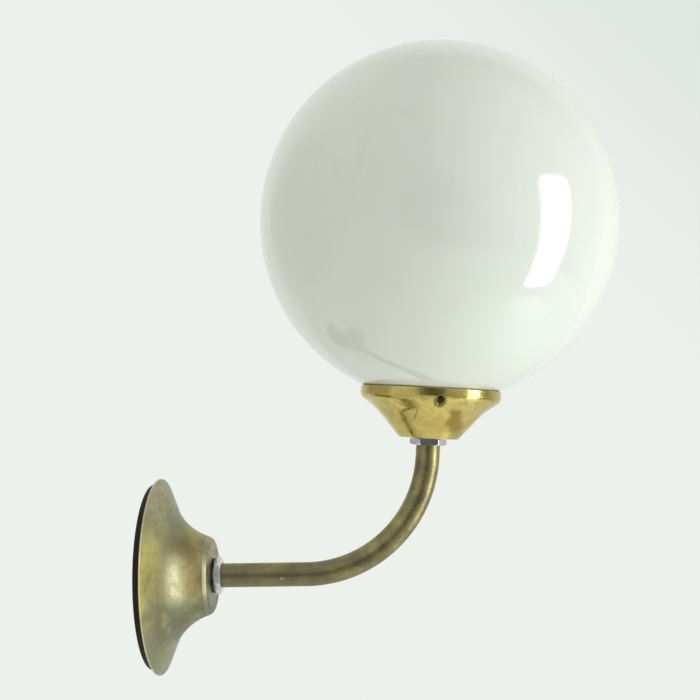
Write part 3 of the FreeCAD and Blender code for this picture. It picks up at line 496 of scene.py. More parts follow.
arm_brass = finish_metal(strokes(*arm_surface(), WALL, [
        ((-4.8, -2.1, 54.2), (-4.9, -0.7, 54.7), 0.26),
        ((-4.8, -2.0, 55.6), (-4.9, -0.9, 55.9), 0.22),
        ((-4.9, -0.9, 54.6), (-4.9, -1.9, 55.6), 0.16),
        ((-3.9, 47.3, 111.9), (-3.9, 48.2, 111.9), 0.24),
        ((-4.6, 1.4, 33.0), (-4.7, 1.1, 36.5), 0.12)], (0.78, 0.74, 0.55)))
def polished_cup():
    """Polished yellow brass with brown tarnish clouds, slight dents and a few dark scratches."""
    s, colour, level = aged_metal(
        "cup_brass", (0.80, 0.64, 0.205), (0.58, 0.435, 0.125), (0.93, 0.82, 0.44), 0.16, LAMP,
        blotch=0.08, mottle=0.45, streaks=0.14, specks=0.7, line=4.2, spread=0.10, bump=0.010)
    sep = s.add("ShaderNodeSeparateXYZ")
    s.link(s.place(LAMP), sep.inputs[0])
    cloud = s.math("MULTIPLY", s.remap(s.noise(0.22, 6, 0.68, warp=0.6), 0.50, 0.66),
                   s.remap(sep.outputs[2], 10.0, 16.0, 0.30, 1.0))
    colour = s.mix(s.math("MULTIPLY", cloud, 0.62), colour, (0.34, 0.27, 0.085))
    # a broad brown patch low on the cone, at the front right
    along = s.math("ADD", sep.outputs[1], s.remap(s.noise(0.16, 4, 0.6), 0.2, 0.8, -1.8, 1.8))
    across_it = s.math("MULTIPLY", s.remap(along, -6.6, -9.4), s.remap(along, -15.6, -12.6))
    up_it = s.math("MULTIPLY", s.remap(sep.outputs[2], 0.6, 5.0, 0.35, 1.0), s.remap(sep.outputs[2], 13.2, 11.0))
    brown_patch = s.math("MULTIPLY", s.math("MULTIPLY", across_it, up_it), s.remap(sep.outputs[0], 2.0, -4.0))
    colour = s.mix(s.math("MULTIPLY", brown_patch, 0.92), colour, (0.29, 0.21, 0.048))
    band = s.math("MULTIPLY", s.remap(sep.outputs[2], 15.2, 17.6), s.remap(s.noise(0.30, 6, 0.7), 0.22, 0.62, 0.35, 1.0))
    colour = s.mix(s.math("MULTIPLY", band, 0.60), colour, (0.46, 0.37, 0.125))
    # dark brown in and just around the three screw holes: partly grime, partly painted shade in the recesses; it
    # also hides a bright tick below the holes
    for k in range(3):
        turn = math.radians(190 + 120 * k)
        cx, cy = math.cos(turn), math.sin(turn)
        aside = s.math("ADD", s.math("MULTIPLY", sep.outputs[0], -cy), s.math("MULTIPLY", sep.outputs[1], cx))
        outward = s.math("ADD", s.math("MULTIPLY", sep.outputs[0], cx), s.math("MULTIPLY", sep.outputs[1], cy))
        above = s.math("ADD", sep.outputs[2], -15.4)
        away = s.math("SQRT", s.math("ADD", s.math("MULTIPLY", aside, aside), s.math("MULTIPLY", above, above)))
        grime_and_shade = s.math("MULTIPLY", s.remap(away, 3.1, 2.1), s.remap(outward, 10.0, 20.0))
        colour = s.mix(s.math("MULTIPLY", grime_and_shade, 0.80), colour, (0.21, 0.155, 0.055))
        level = s.math("MAXIMUM", level, s.math("MULTIPLY", grime_and_shade, 0.62))
    s.bump(s.noise(0.16, 3, 0.5, warp=0.4), 0.085)
    s.bump(s.noise(0.55, 3, 0.5), 0.022)
    return finish_metal(strokes(s, colour, level, LAMP, [
        ((-22.2, 4.3, 11.4), (-18.7, 5.5, 8.0), 0.30),
        ((-22.4, 6.3, 12.2), (-21.6, 7.2, 11.4), 0.22),
        ((-24.6, 9.5, 15.0), (-23.2, 12.6, 15.2), 0.22),
        ((-17.6, 8.8, 8.4), (-15.4, 8.6, 6.2), 0.20),
        ((-14.6, 7.8, 4.6), (-13.2, 6.4, 2.6), 0.20),
        ((-24.0, -11.0, 14.6), (-22.6, -13.4, 14.8), 0.18)], (0.16, 0.12, 0.05), 0.03))


cup_brass = polished_cup()
# the set screws are painted dark brown: painted shade for their place down in the holes
screw_brass_painted_shade = finish_metal(aged_metal(
    "screw_brass_painted_shade", (0.20, 0.145, 0.055), (0.11, 0.085, 0.04), (0.26, 0.195, 0.085), 0.60, None,
    blotch=0.4, mottle=1.2, specks=0.3))
fitting_brass = finish_metal(aged_metal(
    "fitting_brass", (0.72, 0.56, 0.27), (0.50, 0.39, 0.19), (0.90, 0.79, 0.50), 0.28, None,
    blotch=0.2, mottle=0.9, specks=0.3))
nickel = finish_metal(aged_metal(
    "bright_nickel", (0.80, 0.79, 0.85), (0.56, 0.55, 0.62), (0.96, 0.95, 0.99), 0.15, None,
    blotch=0.25, mottle=0.8, streaks=0.3, specks=0.25, line=2.0, spread=0.08, bump=0.008))
zinc = finish_metal(aged_metal(
    "zinc_steel", (0.55, 0.56, 0.58), (0.36, 0.37, 0.40), (0.80, 0.81, 0.82), 0.36, None,
    blotch=0.12, mottle=0.5, streaks=0.18, specks=0.3, line=2.4))
bulb_metal = finish_metal(aged_metal(
    "bulb_metal", (0.66, 0.65, 0.60), (0.48, 0.47, 0.44), (0.88, 0.87, 0.83), 0.22, None,
    blotch=0.25, mottle=0.9, specks=0.25))
solder = finish_metal(aged_metal(
    "solder", (0.52, 0.53, 0.55), (0.38, 0.39, 0.41), (0.72, 0.73, 0.75), 0.38, None,
    blotch=0.5, mottle=1.5, specks=0.2))
tungsten = finish_metal(aged_metal(
    "tungsten", (0.20, 0.20, 0.21), (0.12, 0.12, 0.13), (0.42, 0.42, 0.44), 0.34, None,
    blotch=0.5, mottle=1.5, specks=0.1))


def moulded(name, base, shade, rough, grain=2.2, depth=0.006, dust=0.0, **constants):
    """Moulded plastic, rubber, phenolic or ceramic with a fine skin, faint flow marks and dust."""
    s = Surface(name)
    flow = s.noise(0.10, 4, 0.6, warp=0.9)
    fine = s.noise(grain, 5, 0.6)
    colour = s.mix(s.remap(flow, 0.35, 0.68), base, shade)
    colour = s.mix(s.remap(fine, 0.5, 0.75, 0.0, 0.25), colour, tuple(c * 0.7 for c in base))
    worn = s.math("MULTIPLY", s.wear(), 0.35)
    colour = s.mix(worn, colour, tuple(min(1.0, c * 1.5 + 0.03) for c in base))
    if dust:
        colour = s.mix(s.remap(s.noise(0.8, 6, 0.75), 0.5, 0.7, 0.0, dust), colour, (0.30, 0.30, 0.27))
    level = s.remap(fine, 0.3, 0.75, rough - 0.05, rough + 0.10)
    s.bump(fine, depth)
    s.bump(flow, depth)
    return s.done(colour, level, **constants)


ring_black = moulded("black_ring", (0.006, 0.007, 0.005), (0.012, 0.013, 0.009), 0.58, dust=0.03,
                     Specular_IOR_Level=0.25)
washer_black = moulded("dark_washer", (0.016, 0.014, 0.010), (0.026, 0.023, 0.016), 0.5, dust=0.05,
                       Specular_IOR_Level=0.3)
phenolic = moulded("phenolic", (0.016, 0.013, 0.011), (0.030, 0.024, 0.019), 0.26, dust=0.04)
ceramic = moulded("ceramic", (0.80, 0.78, 0.73), (0.70, 0.67, 0.61), 0.30, dust=0.15)
terminal = moulded("terminal_body", (0.74, 0.72, 0.66), (0.64, 0.61, 0.54), 0.40, dust=0.12)
black_glass = moulded("black_glass", (0.010, 0.010, 0.012), (0.02, 0.02, 0.024), 0.12)
wire_brown = moulded("wire_brown", (0.16, 0.062, 0.028), (0.20, 0.085, 0.04), 0.38, grain=1.2, dust=0.08)
wire_blue = moulded("wire_blue", (0.028, 0.10, 0.34), (0.045, 0.14, 0.42), 0.38, grain=1.2, dust=0.08)


def striped_wire():
    """Green insulation with two yellow stripes that run round it as it goes."""
    s = Surface("wire_earth")
    wave = s.add("ShaderNodeTexWave")
    wave.inputs["Scale"].default_value = 0.16
    wave.inputs["Distortion"].default_value = 1.2
    s.link(s.mm, wave.inputs["Vector"])
    fine = s.noise(1.4, 5, 0.6)
    colour = s.mix(s.remap(wave.outputs["Fac"], 0.44, 0.56), (0.05, 0.30, 0.06), (0.72, 0.62, 0.05))
    colour = s.mix(s.remap(fine, 0.5, 0.75, 0.0, 0.3), colour, (0.12, 0.16, 0.05))
    s.bump(fine, 0.006)
    return s.done(colour, s.remap(fine, 0.3, 0.75, 0.32, 0.46))


wire_earth = striped_wire()


def opal():
    """Cased opal glass: milky, faintly cloudy, with a polished blown skin."""
    s = Surface("opal_glass")
    cloud = s.noise(0.018, 3, 0.5, warp=0.8)
    swirl = s.noise(0.07, 4, 0.55, s.place(LAMP, (1.0, 1.0, 0.45)), 1.2)
    dust = s.noise(2.0, 6, 0.7)
    colour = s.mix(s.remap(cloud, 0.3, 0.7), (0.850, 0.880, 0.805), (0.876, 0.898, 0.838))
    colour = s.mix(s.remap(swirl, 0.42, 0.75, 0.0, 0.28), colour, (0.805, 0.832, 0.772))
    colour = s.mix(s.remap(dust, 0.62, 0.8, 0.0, 0.10), colour, (0.70, 0.71, 0.66))
    level = s.math("ADD", s.remap(dust, 0.4, 0.8, 0.045, 0.085), s.remap(swirl, 0.3, 0.8, 0.0, 0.015))
    s.bump(s.noise(0.028, 2, 0.4), 0.10)
    s.bump(s.noise(0.4, 2, 0.4), 0.002)
    return s.done(colour, level, Subsurface_Weight=0.25, Subsurface_Radius=(1.0, 1.0, 0.95),
                  Subsurface_Scale=0.004, IOR=1.5,
                  Coat_Weight=0.7, Coat_Roughness=0.03)


opal_glass = opal()


def clear(name, tint, rough, milky):
    s = Surface(name)
    cloud = s.noise(0.08, 4, 0.5)
    dust = s.noise(1.6, 6, 0.7)
    colour = s.mix(s.remap(cloud, 0.3, 0.7), tint, tuple(c * 0.94 for c in tint))
    colour = s.mix(s.remap(dust, 0.6, 0.8, 0.0, 0.2), colour, (0.7, 0.7, 0.66))
    s.bump(s.noise(0.06, 2, 0.4), 0.05)
    return s.done(colour, s.remap(dust, 0.3, 0.8, rough, rough + 0.06),
                  Transmission_Weight=1.0 - milky, IOR=1.5)


bulb_frost = clear("bulb_glass", (0.90, 0.90, 0.87), 0.34, 0.45)
clear_glass = clear("clear_glass", (0.93, 0.95, 0.94), 0.04, 0.1)

# ------------------------------------------------------------------- wall fitting
ring = plain_ring("base_ring_piece", "base_ring", WALL, 0.45, 256)
finish_piece(ring, "fixture", "black_ring", ring_black, "base_ring")

canopy = turned("canopy_bell", rounded([
    (41.0, 3.0), (41.0, 3.4), (30.6, 7.95, 25.36, "right"), (16.35, 23.7),
    (15.6, 24.78, 2.6, "left"), (13.6, 25.4), (5.25, 25.4), (5.25, 24.5), (13.0, 24.5),
    (15.49, 23.43, 26.26, "left"), (30.24, 7.12), (37.2, 3.75), (37.2, 3.0)],
    0.22, 0.7, 1.5), WALL, 320, sharp=40)
finish_piece(canopy, "fixture", "aged_brass", canopy_brass, "canopy")

washer = plain_ring("canopy_washer_piece", "canopy_washer", WALL, 0.2)
finish_piece(washer, "fixture", "dark_washer", washer_black, "canopy_washer")

for node, place, slot, mat in (
        ("canopy_nut", WALL, "nickel", nickel),
        ("bracket_rear_nut", WALL, "zinc_steel", zinc),
        ("bracket_front_nut", WALL, "zinc_steel", zinc),
        ("gallery_nut_lower", LAMP, "nickel", nickel),
        ("gallery_nut_upper", LAMP, "zinc_steel", zinc)):
    nut = hexagon_nut(node + "_piece", node, place)
    finish_piece(nut, "fixture", slot, mat, node)

for node, place in (("bracket_lock_washer", WALL), ("gallery_lock_washer", LAMP)):
    finish_piece(plain_ring(node + "_piece", node, place, 0.12), "fixture", "zinc_steel", zinc, node)

# ---------------------------------------------------------------------------- arm
TUBE_OUT, TUBE_IN = 5.0, 4.0
STRAIGHT, BEND, SWEEP, RISER = 64.8, 52.0, math.radians(85.6), 7.7
TUBE_START, TUBE_END = 8.4, 11.5
THREAD_PITCH, THREAD_DEPTH = 1.0, 0.42


def thread(run, angle, start, end):
    """How far a thread's groove goes in at that place on the tube."""
    fade = min(1.0, max(0.0, (run - start) / 0.8)) * min(1.0, max(0.0, (end - run) / 0.8))
    turn = (run / THREAD_PITCH - angle / (2 * math.pi)) % 1.0
    return THREAD_DEPTH * fade * (1 - abs(2 * turn - 1))


def arm():
    runs = []
    s = TUBE_START
    while s < 26.5:
        runs.append(s)
        s += THREAD_PITCH / 8
    while s < STRAIGHT:
        runs.append(s)
        s += 2.0
    bend_length = BEND * SWEEP
    runs += [STRAIGHT + bend_length * k / 96 for k in range(97)]
    total = STRAIGHT + bend_length + RISER + TUBE_END
    s = STRAIGHT + bend_length + 1.0
    lamp_start = STRAIGHT + bend_length + RISER - 2.6
    while s < lamp_start:
        runs.append(s)
        s += 1.0
    s = lamp_start
    while s < total - 0.05:
        runs.append(s)
        s += THREAD_PITCH / 8
    runs.append(total)

    def centre(run):
        """Point and the two cross directions on the centre line, in the wall frame."""
        if run <= STRAIGHT:
            return np.array([0, 0, run]), np.array([0, 1.0, 0])
        if run <= STRAIGHT + bend_length:
            a = (run - STRAIGHT) / BEND
            return (np.array([0, BEND * (1 - math.cos(a)), STRAIGHT + BEND * math.sin(a)]),
                    np.array([0, math.cos(a), -math.sin(a)]))
        a, rest = SWEEP, run - STRAIGHT - bend_length
        point = np.array([0, BEND * (1 - math.cos(a)) + rest * math.sin(a),
                          STRAIGHT + BEND * math.sin(a) + rest * math.cos(a)])
        return point, np.array([0, math.cos(a), -math.sin(a)])

    steps, verts, rows, wear = 96, [], [], []
    outer, inner = [], []
    for run in runs:
        point, up = centre(run)
        chamfer = max(0.0, 0.5 - (run - TUBE_START)) + max(0.0, 0.5 - (total - run))
        for radius, group in ((TUBE_OUT, outer), (TUBE_IN, inner)):
            row = []
            for k in range(steps):
                a = 2 * math.pi * k / steps
                r = radius
                if radius == TUBE_OUT:
                    r -= max(thread(run, a, TUBE_START, 26.0), thread(run, a, lamp_start, total + 2), chamfer)
                row.append(len(verts))
                verts.append(point + np.array([1.0, 0, 0]) * r * math.cos(a) + up * r * math.sin(a))
                wear.append(0.0)
            group.append(row)
    faces = []
    for group in (outer, inner):
        for a, b in zip(group, group[1:]):
            for j in range(steps):
                i = (j + 1) % steps
                faces.append((a[j], a[i], b[i], b[j]))
    for a, b in ((outer[0], inner[0]), (outer[-1], inner[-1])):
        for j in range(steps):
            i = (j + 1) % steps
            faces.append((a[j], a[i], b[i], b[j]))
    return make_mesh("arm_tube_piece", WALL.out(verts), faces, wear, 40)


finish_piece(arm(), "fixture", "arm_brass", arm_brass, "arm_tube")

# ---------------------------------------------------------------------------- cup
cup = turned("gallery_cup", rounded([
    (5.15, 0.0), (12.3, 0.0), (12.9, 0.6), (21.0, 9.75, 15.0, "right"), (23.6, 12.2),
    (27.95, 15.46, 3.25, "left"), (29.22, 18.0), (29.22, 20.51), (29.07, 20.66),
    (28.32, 20.66), (28.32, 18.7), (25.0, 18.7), (25.0, 14.0), (19.79, 9.75),
    (11.96, 0.9), (5.15, 0.9)], 0.14, 0.5, 3.0), LAMP, 288, sharp=40)


def drill(obj, place, holes):
    """Cuts round holes: each is (height, angle, radius, from, to), along a radius of the local frame."""
    tools = []
    for height, angle, radius, near, far in holes:
        verts, faces, n = [], [], 40
        for d in (near, far):
            for k in range(n):
                a = 2 * math.pi * k / n
                u, v = radius * math.cos(a), radius * math.sin(a)
                verts.append((d * math.cos(angle) - u * math.sin(angle),
                              d * math.sin(angle) + u * math.cos(angle), height + v))
        faces += [(k, (k + 1) % n, n + (k + 1) % n, n + k) for k in range(n)]
        faces += [tuple(range(n)), tuple(range(n, 2 * n))]
        tools.append(make_mesh("drill", place.out(verts), faces))
    for tool in tools:
        mod = obj.modifiers.new("hole", "BOOLEAN")
        mod.operation = "DIFFERENCE"
        mod.solver = "EXACT"
        mod.object = tool
    bpy.context.view_layer.update()
    made = bpy.data.meshes.new_from_object(obj.evaluated_get(bpy.context.evaluated_depsgraph_get()))
    obj.modifiers.clear()
    obj.data = made
    for tool in tools:
        bpy.data.objects.remove(tool)


drill(cup, LAMP, [(16.05, math.radians(190 + 120 * k), 1.53, 23.0, 32.0) for k in range(3)])
finish_piece(cup, "fixture", "cup_brass", cup_brass, "gallery")


def set_screw(number):
    """A slotted grub screw with a fine thread, where the CAD one is."""
    angle = math.radians(190 + 120 * number)
    out = np.array([math.cos(angle), math.sin(angle), 0.0])
    side = np.array([-math.sin(angle), math.cos(angle), 0.0])
    place = Place(LAMP.out([out * 24.0 + np.array([0, 0, 16.05])])[0],
                  side @ LAMP.axes, np.array([0, 0, 1.0]) @ LAMP.axes, out @ LAMP.axes)
    steps, n_rows = 72, 48
    verts, rows, wear = [(0, 0, 0)], [], [0]
    heights = [0.0, 0.0, 0.35] + [0.35 + 2.35 * k / n_rows for k in range(1, n_rows + 1)] + [2.85, 3.0]
    radii = [0.0, 1.15, 1.5] + [1.5] * n_rows + [1.42, 1.25]
    for h, r in list(zip(heights, radii))[1:]:
        row = []
        for k in range(steps):
            a = 2 * math.pi * k / steps
            turn = (h / 0.5 - a / (2 * math.pi)) % 1.0
            groove = 0.22 * (1 - abs(2 * turn - 1)) if 0.4 < h < 2.6 else 0.0
            row.append(len(verts))
            verts.append(((r - groove) * math.cos(a), (r - groove) * math.sin(a), h))
            wear.append(0.4)
        rows.append(row)
    faces = [(0, rows[0][(j + 1) % steps], rows[0][j]) for j in range(steps)]
    for a, b in zip(rows, rows[1:]):
        faces += [(a[j], a[(j + 1) % steps], b[(j + 1) % steps], b[j]) for j in range(steps)]
    faces.append(tuple(rows[-1]))
    obj = make_mesh("set_screw_%d_piece" % (number + 1), place.out(verts), faces, wear)
    slot_verts = [(x, y, z) for z in (2.1, 3.6) for x, y in ((-0.3, -2), (0.3, -2), (0.3, 2), (-0.3, 2))]
    tool = make_mesh("slot", place.out(slot_verts), [(0, 1, 2, 3), (4, 5, 6, 7), (0, 1, 5, 4),
                                                     (1, 2, 6, 5), (2, 3, 7, 6), (3, 0, 4, 7)])
    mod = obj.modifiers.new("slot", "BOOLEAN")
    mod.operation = "DIFFERENCE"
    mod.solver = "EXACT"
    mod.object = tool
    bpy.context.view_layer.update()
    made = bpy.data.meshes.new_from_object(obj.evaluated_get(bpy.context.evaluated_depsgraph_get()))
    obj.modifiers.clear()
    obj.data = made
    bpy.data.objects.remove(tool)
    name = "set_screw_%d" % (number + 1)
    finish_piece(obj, name, "cup_brass", screw_brass_painted_shade, name)


for k in range(3):
    set_screw(k)

# -------------------------------------------------------------------------- globe
GLOBE_R, GLOBE_H, GLASS = 75.0, 90.25, 2.5


def globe():
    """Outer and inner sphere, a neck with a small soft root, and a fire-polished lower lip."""
    points = []
    inner = GLOBE_R - GLASS
    neck_out, neck_in, low = 23.9, 21.4, 13.4
    root = GLOBE_H - math.sqrt(GLOBE_R ** 2 - neck_out ** 2)
    start = math.atan2(root - GLOBE_H, neck_out)
    points += [(neck_out, low + 0.9), (neck_out, root - 1.2)]
    for k in range(1, 200):
        a = start + (math.pi / 2 - start) * k / 200
        points.append((GLOBE_R * math.cos(a), GLOBE_H + GLOBE_R * math.sin(a)))
    points.append((0.0, GLOBE_H + GLOBE_R))
    points.append((0.0, GLOBE_H + inner))
    root_in = GLOBE_H - math.sqrt(inner ** 2 - neck_in ** 2)
    end = math.atan2(root_in - GLOBE_H, neck_in)
    for k in range(199, 0, -1):
        a = end + (math.pi / 2 - end) * k / 200
        points.append((inner * math.cos(a), GLOBE_H + inner * math.sin(a)))
    points += [(neck_in, root_in), (neck_in, low + 0.9)]
    for k in range(9):
        a = math.pi + math.pi * k / 8
        points.append(((neck_out + neck_in) / 2 + GLASS / 2 * math.cos(a), low + 0.9 + 0.9 * math.sin(a)))
    return turned("globe_glass", [(r, h, 0.0) for r, h in points], LAMP, 360, sharp=60)


finish_piece(globe(), "globe", "opal_glass", opal_glass, "globe")

# --------------------------------------------------------------------- lampholder
cap = turned("lampholder_cap_piece", rounded([
    (5.06, 4.9), (7.6, 4.9), (10.5, 7.1), (13.4, 11.1), (14.0, 12.5), (14.0, 22.0), (12.6, 22.0),
    (12.6, 13.1), (9.4, 9.0), (7.4, 7.5), (7.4, 11.9), (5.06, 11.9)], 0.3, 0.5), LAMP, 160)
finish_piece(cap, "fixture", "phenolic", phenolic, "lampholder_cap")


def ribbed(r, h, a):
    """Shallow grip ribs on the sleeve's lower part."""
    if r < 12.9 or not 24.0 < h < 46.0:
        return r
    fade = min(1.0, (h - 24.0) / 1.5, (46.0 - h) / 1.5)
    return r - 0.28 * fade * (0.5 - 0.5 * math.cos(48 * a))


sleeve_outline = [(9.7, 22.0, 0.0), (13.1, 22.0, 0.2), (13.32, 22.1, 0.8), (13.4, 22.4, 0.4)]
sleeve_outline += [(13.4, 22.4 + 26.6 * k / 40, 0.0) for k in range(1, 41)]
sleeve_outline += [(13.15, 49.5, 0.6), (12.7, 49.9, 0.8), (12.3, 50.0, 0.3), (8.5, 50.0, 0.3),
                   (8.27, 49.85, 0.6), (8.2, 49.6, 0.3), (8.2, 45.0, 0.0), (9.7, 45.0, 0.0)]
sleeve = turned("lampholder_sleeve_piece", sleeve_outline, LAMP, 384, ribbed)
finish_piece(sleeve, "fixture", "phenolic", phenolic, "lampholder_sleeve")

shell_outline = [(7.2, 24.0, 0.0), (7.6, 24.0, 0.0)] + [(7.6, 24.0 + 20 * k / 80, 0.0) for k in range(1, 81)]
shell_outline += [(7.2, 44.0 - 20 * k / 80, 0.0) for k in range(80)]


def shell_thread(r, h, a):
    turn = (h / 2.82 - a / (2 * math.pi)) % 1.0
    fade = min(1.0, max(0.0, h - 24.5), max(0.0, 43.5 - h))
    return r + (0.0 if r > 7.4 else 0.08) * fade * math.sin(2 * math.pi * turn) - (
        0.08 * fade * (0.5 + 0.5 * math.sin(2 * math.pi * turn)) if r > 7.4 else 0.0)


finish_piece(turned("lampholder_shell_piece", shell_outline, LAMP, 96, shell_thread),
             "fixture", "brass_part", fitting_brass, "lampholder_shell")

# --------------------------------------------------------------------------- bulb
cap_outline = [(5.4, 29.6, 0.0), (6.45, 29.6, 0.4), (6.95, 30.4, 0.3)]
cap_outline += [(6.95, 30.4 + 15.9 * k / 96, 0.0) for k in range(1, 97)]
cap_outline += [(7.3, 47.5, 0.6), (6.65, 47.5, 0.3)]
cap_outline += [(6.65 - 0.45, 46.0 - 15.2 * k / 24, 0.0) for k in range(25)]
cap_outline += [(5.4, 30.4, 0.0)]


def bulb_thread(r, h, a):
    """Rolled thread of a 14 mm screw cap."""
    if r < 6.9 or h > 45.6 or h < 31.0:
        return r
    turn = (h / 2.82 - a / (2 * math.pi)) % 1.0
    fade = min(1.0, (h - 31.0) / 1.2, (45.6 - h) / 1.6)
    return r - 0.5 * fade * (0.5 - 0.5 * math.cos(2 * math.pi * turn))


finish_piece(turned("bulb_cap_piece", cap_outline, LAMP, 128, bulb_thread),
             "bulb", "bulb_metal", bulb_metal, "bulb_cap")

side_run = 75.0 - 17.5
rise = math.sqrt(70.5 ** 2 - side_run ** 2)


def tip_joint(radius):
    share = radius / 70.5
    return -side_run + side_run * share, 80.0 + rise * share


tip = 80.0 + rise + 4.5
bulb = turned("bulb_glass_piece", rounded([
    (6.5, 41.0), (6.5, 47.6), (7.0, 48.0), (7.0, 51.16, 12.87, "right"), (10.01, 59.43, 32.0, "left"),
    (17.5, 80.0, 75.0, "left"), (*tip_joint(75.0), 4.5, "left"), (0.0, tip),
    (0.0, tip - 0.8, 3.7, "right"), (*tip_joint(74.2), 74.2, "right"),
    (16.7, 80.0, 31.2, "right"), (9.4, 59.94, 13.67, "left"), (6.2, 51.16), (6.2, 48.2),
    (5.75, 47.6), (5.75, 41.0)], 0.1, 0.3, 2.0), LAMP, 160, sharp=60)
finish_piece(bulb, "bulb", "bulb_glass", bulb_frost, "bulb_glass")

# ---------------------------------------------------- pieces that keep the CAD mesh
KEPT = {
    "wall_bracket": ("zinc_steel", zinc), "terminal_block": ("terminal_body", terminal),
    "terminal_sleeves": ("brass_part", fitting_brass), "terminal_screws": ("zinc_steel", zinc),
    "terminal_fixing_screw": ("zinc_steel", zinc), "earth_screw": ("brass_part", fitting_brass),
    "earth_eyelet": ("brass_part", fitting_brass), "earth_lead": ("wire_earth", wire_earth),
    "wire_live": ("wire_brown", wire_brown), "wire_neutral": ("wire_blue", wire_blue),
    "lampholder_core": ("ceramic", ceramic), "lampholder_contact": ("brass_part", fitting_brass),
    "bulb_collar": ("black_glass", black_glass), "bulb_tip_contact": ("solder", solder),
    "bulb_stem": ("clear_glass", clear_glass), "bulb_filament": ("tungsten", tungsten),
}
for node, (slot, mat) in KEPT.items():
    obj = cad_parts[node]
    obj.data.materials.clear()
    obj.data.materials.append(mat)

# -------------------------------------------------------------------------- stage
FLOOR = -1.30


def floor():
    verts, faces, n, rings = [(0.0, 0.0, FLOOR * 1000)], [], 128, 24
    for k in range(1, rings + 1):
        r = 3400.0 * k / rings
        for j in range(n):
            a = 2 * math.pi * j / n
            verts.append((r * math.cos(a), r * math.sin(a), FLOOR * 1000))
    for j in range(n):
        faces.append((0, 1 + j, 1 + (j + 1) % n))
    for k in range(rings - 1):
        a, b = 1 + k * n, 1 + (k + 1) * n
        for j in range(n):
            i = (j + 1) % n
            faces.append((a + j, b + j, b + i, a + i))
    obj = make_mesh("floor", verts, faces)
    s = Surface("pale_floor")
    fine = s.noise(0.02, 4, 0.5)
    colour = s.mix(s.remap(fine, 0.3, 0.7), (0.93, 0.955, 0.925), (0.95, 0.97, 0.94))
    s.bump(s.noise(0.05, 3, 0.5), 0.05)
    obj.data.materials.append(s.done(colour, s.remap(fine, 0.3, 0.7, 0.7, 0.8)))
    for poly in obj.data.polygons:
        if poly.normal.z < 0:
            poly.flip()
    obj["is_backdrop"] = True


floor()

# ------------------------------------------------------------------------- camera
yaw, pitch, roll, focal = (math.radians(5.056), math.radians(2.641), math.radians(-1.414), 1386.058)
heading = math.radians(-90) + yaw
ahead = Vector((-math.sin(heading) * math.cos(pitch), math.cos(heading) * math.cos(pitch), math.sin(pitch)))
across = ahead.cross(Vector((0, 0, 1))).normalized()
upward = across.cross(ahead)
right = across * math.cos(roll) + upward * math.sin(roll)
up = -across * math.sin(roll) + upward * math.cos(roll)
ahead = (ahead - right * (0.5 / focal) + up * (0.5 / focal)).normalized()
right = ahead.cross(up).normalized()
up = right.cross(ahead)
eye = Vector((-0.579539, -0.136794, 0.066266))
camera_data = bpy.data.cameras.new("camera")
camera_data.sensor_width = 36.0
camera_data.sensor_fit = "HORIZONTAL"
camera_data.lens = focal / 700.0 * 36.0
camera_data.clip_start = 0.01
camera_data.clip_end = 50.0
camera = bpy.data.objects.new("camera", camera_data)
bpy.context.scene.collection.objects.link(camera)
camera.matrix_world = Matrix((
    (right.x, up.x, -ahead.x, eye.x), (right.y, up.y, -ahead.y, eye.y),
    (right.z, up.z, -ahead.z, eye.z), (0, 0, 0, 1)))
bpy.context.scene.camera = camera


# ------------------------------------------------------------------------- lights
def panel(name, centre, side, back, wide, high, radiance, colour, corner, soft):
    """A soft rectangular light with rounded, faded corners. It isn't seen itself, only its reflection."""
    data = bpy.data.lights.new(name, "AREA")
    data.shape = "RECTANGLE"
    data.size, data.size_y = wide, high
    data.energy = radiance * math.pi * wide * high
    data.color = colour
    data.use_nodes = True
    nodes, links = data.node_tree.nodes, data.node_tree.links
    nodes.clear()

    def calc(kind, one, two=0.0, clamp=False):
        node = nodes.new("ShaderNodeMath")
        node.operation = kind
        node.use_clamp = clamp
        for value, socket in ((one, node.inputs[0]), (two, node.inputs[1])):
            if isinstance(value, bpy.types.NodeSocket):
                links.new(value, socket)
            else:
                socket.default_value = value
        return node.outputs[0]

    where = nodes.new("ShaderNodeNewGeometry")
    split = nodes.new("ShaderNodeSeparateXYZ")
    links.new(where.outputs["Parametric"], split.inputs[0])
    outside = []
    for axis, length in ((0, wide), (1, high)):
        away = calc("MULTIPLY", calc("ABSOLUTE", calc("SUBTRACT", split.outputs[axis], 0.5)), length)
        outside.append(calc("MAXIMUM", calc("SUBTRACT", away, length / 2 - corner), 0.0))
    reach = calc("SQRT", calc("ADD", calc("MULTIPLY", outside[0], outside[0]),
                              calc("MULTIPLY", outside[1], outside[1])))
    mask = nodes.new("ShaderNodeMapRange")
    mask.interpolation_type = "SMOOTHSTEP"
    links.new(reach, mask.inputs["Value"])
    for key, number in (("From Min", corner - soft), ("From Max", corner), ("To Min", 1.0), ("To Max", 0.0)):
        mask.inputs[key].default_value = number
    shine = nodes.new("ShaderNodeEmission")
    links.new(mask.outputs["Result"], shine.inputs["Strength"])
    last = nodes.new("ShaderNodeOutputLight")
    links.new(shine.outputs[0], last.inputs[0])
    obj = bpy.data.objects.new(name, data)
    bpy.context.scene.collection.objects.link(obj)
    centre, side, back = Vector(centre), Vector(side).normalized(), Vector(back).normalized()
    top = back.cross(side)
    obj.matrix_world = Matrix((
        (side.x, top.x, back.x, centre.x), (side.y, top.y, back.y, centre.y),
        (side.z, top.z, back.z, centre.z), (0, 0, 0, 1)))
    obj.visible_camera = False
    return obj


# a tall window panel at the right, whose mirror image on the globe is the long highlight
panel("window_panel", (-0.3330, -1.6416, -0.2370), (0.7277, -0.6799, 0.0906), (-0.6853, -0.7154, 0.1360),
      0.82, 1.84, 4.8, (0.99, 1.0, 1.03), 0.22, 0.14)

# ---------------------------------------------------------- surroundings and backdrop
world = bpy.data.worlds.new("studio")
bpy.context.scene.world = world
world.use_nodes = True
tree = world.node_tree
tree.nodes.clear()


def wnode(kind):
    return tree.nodes.new(kind)


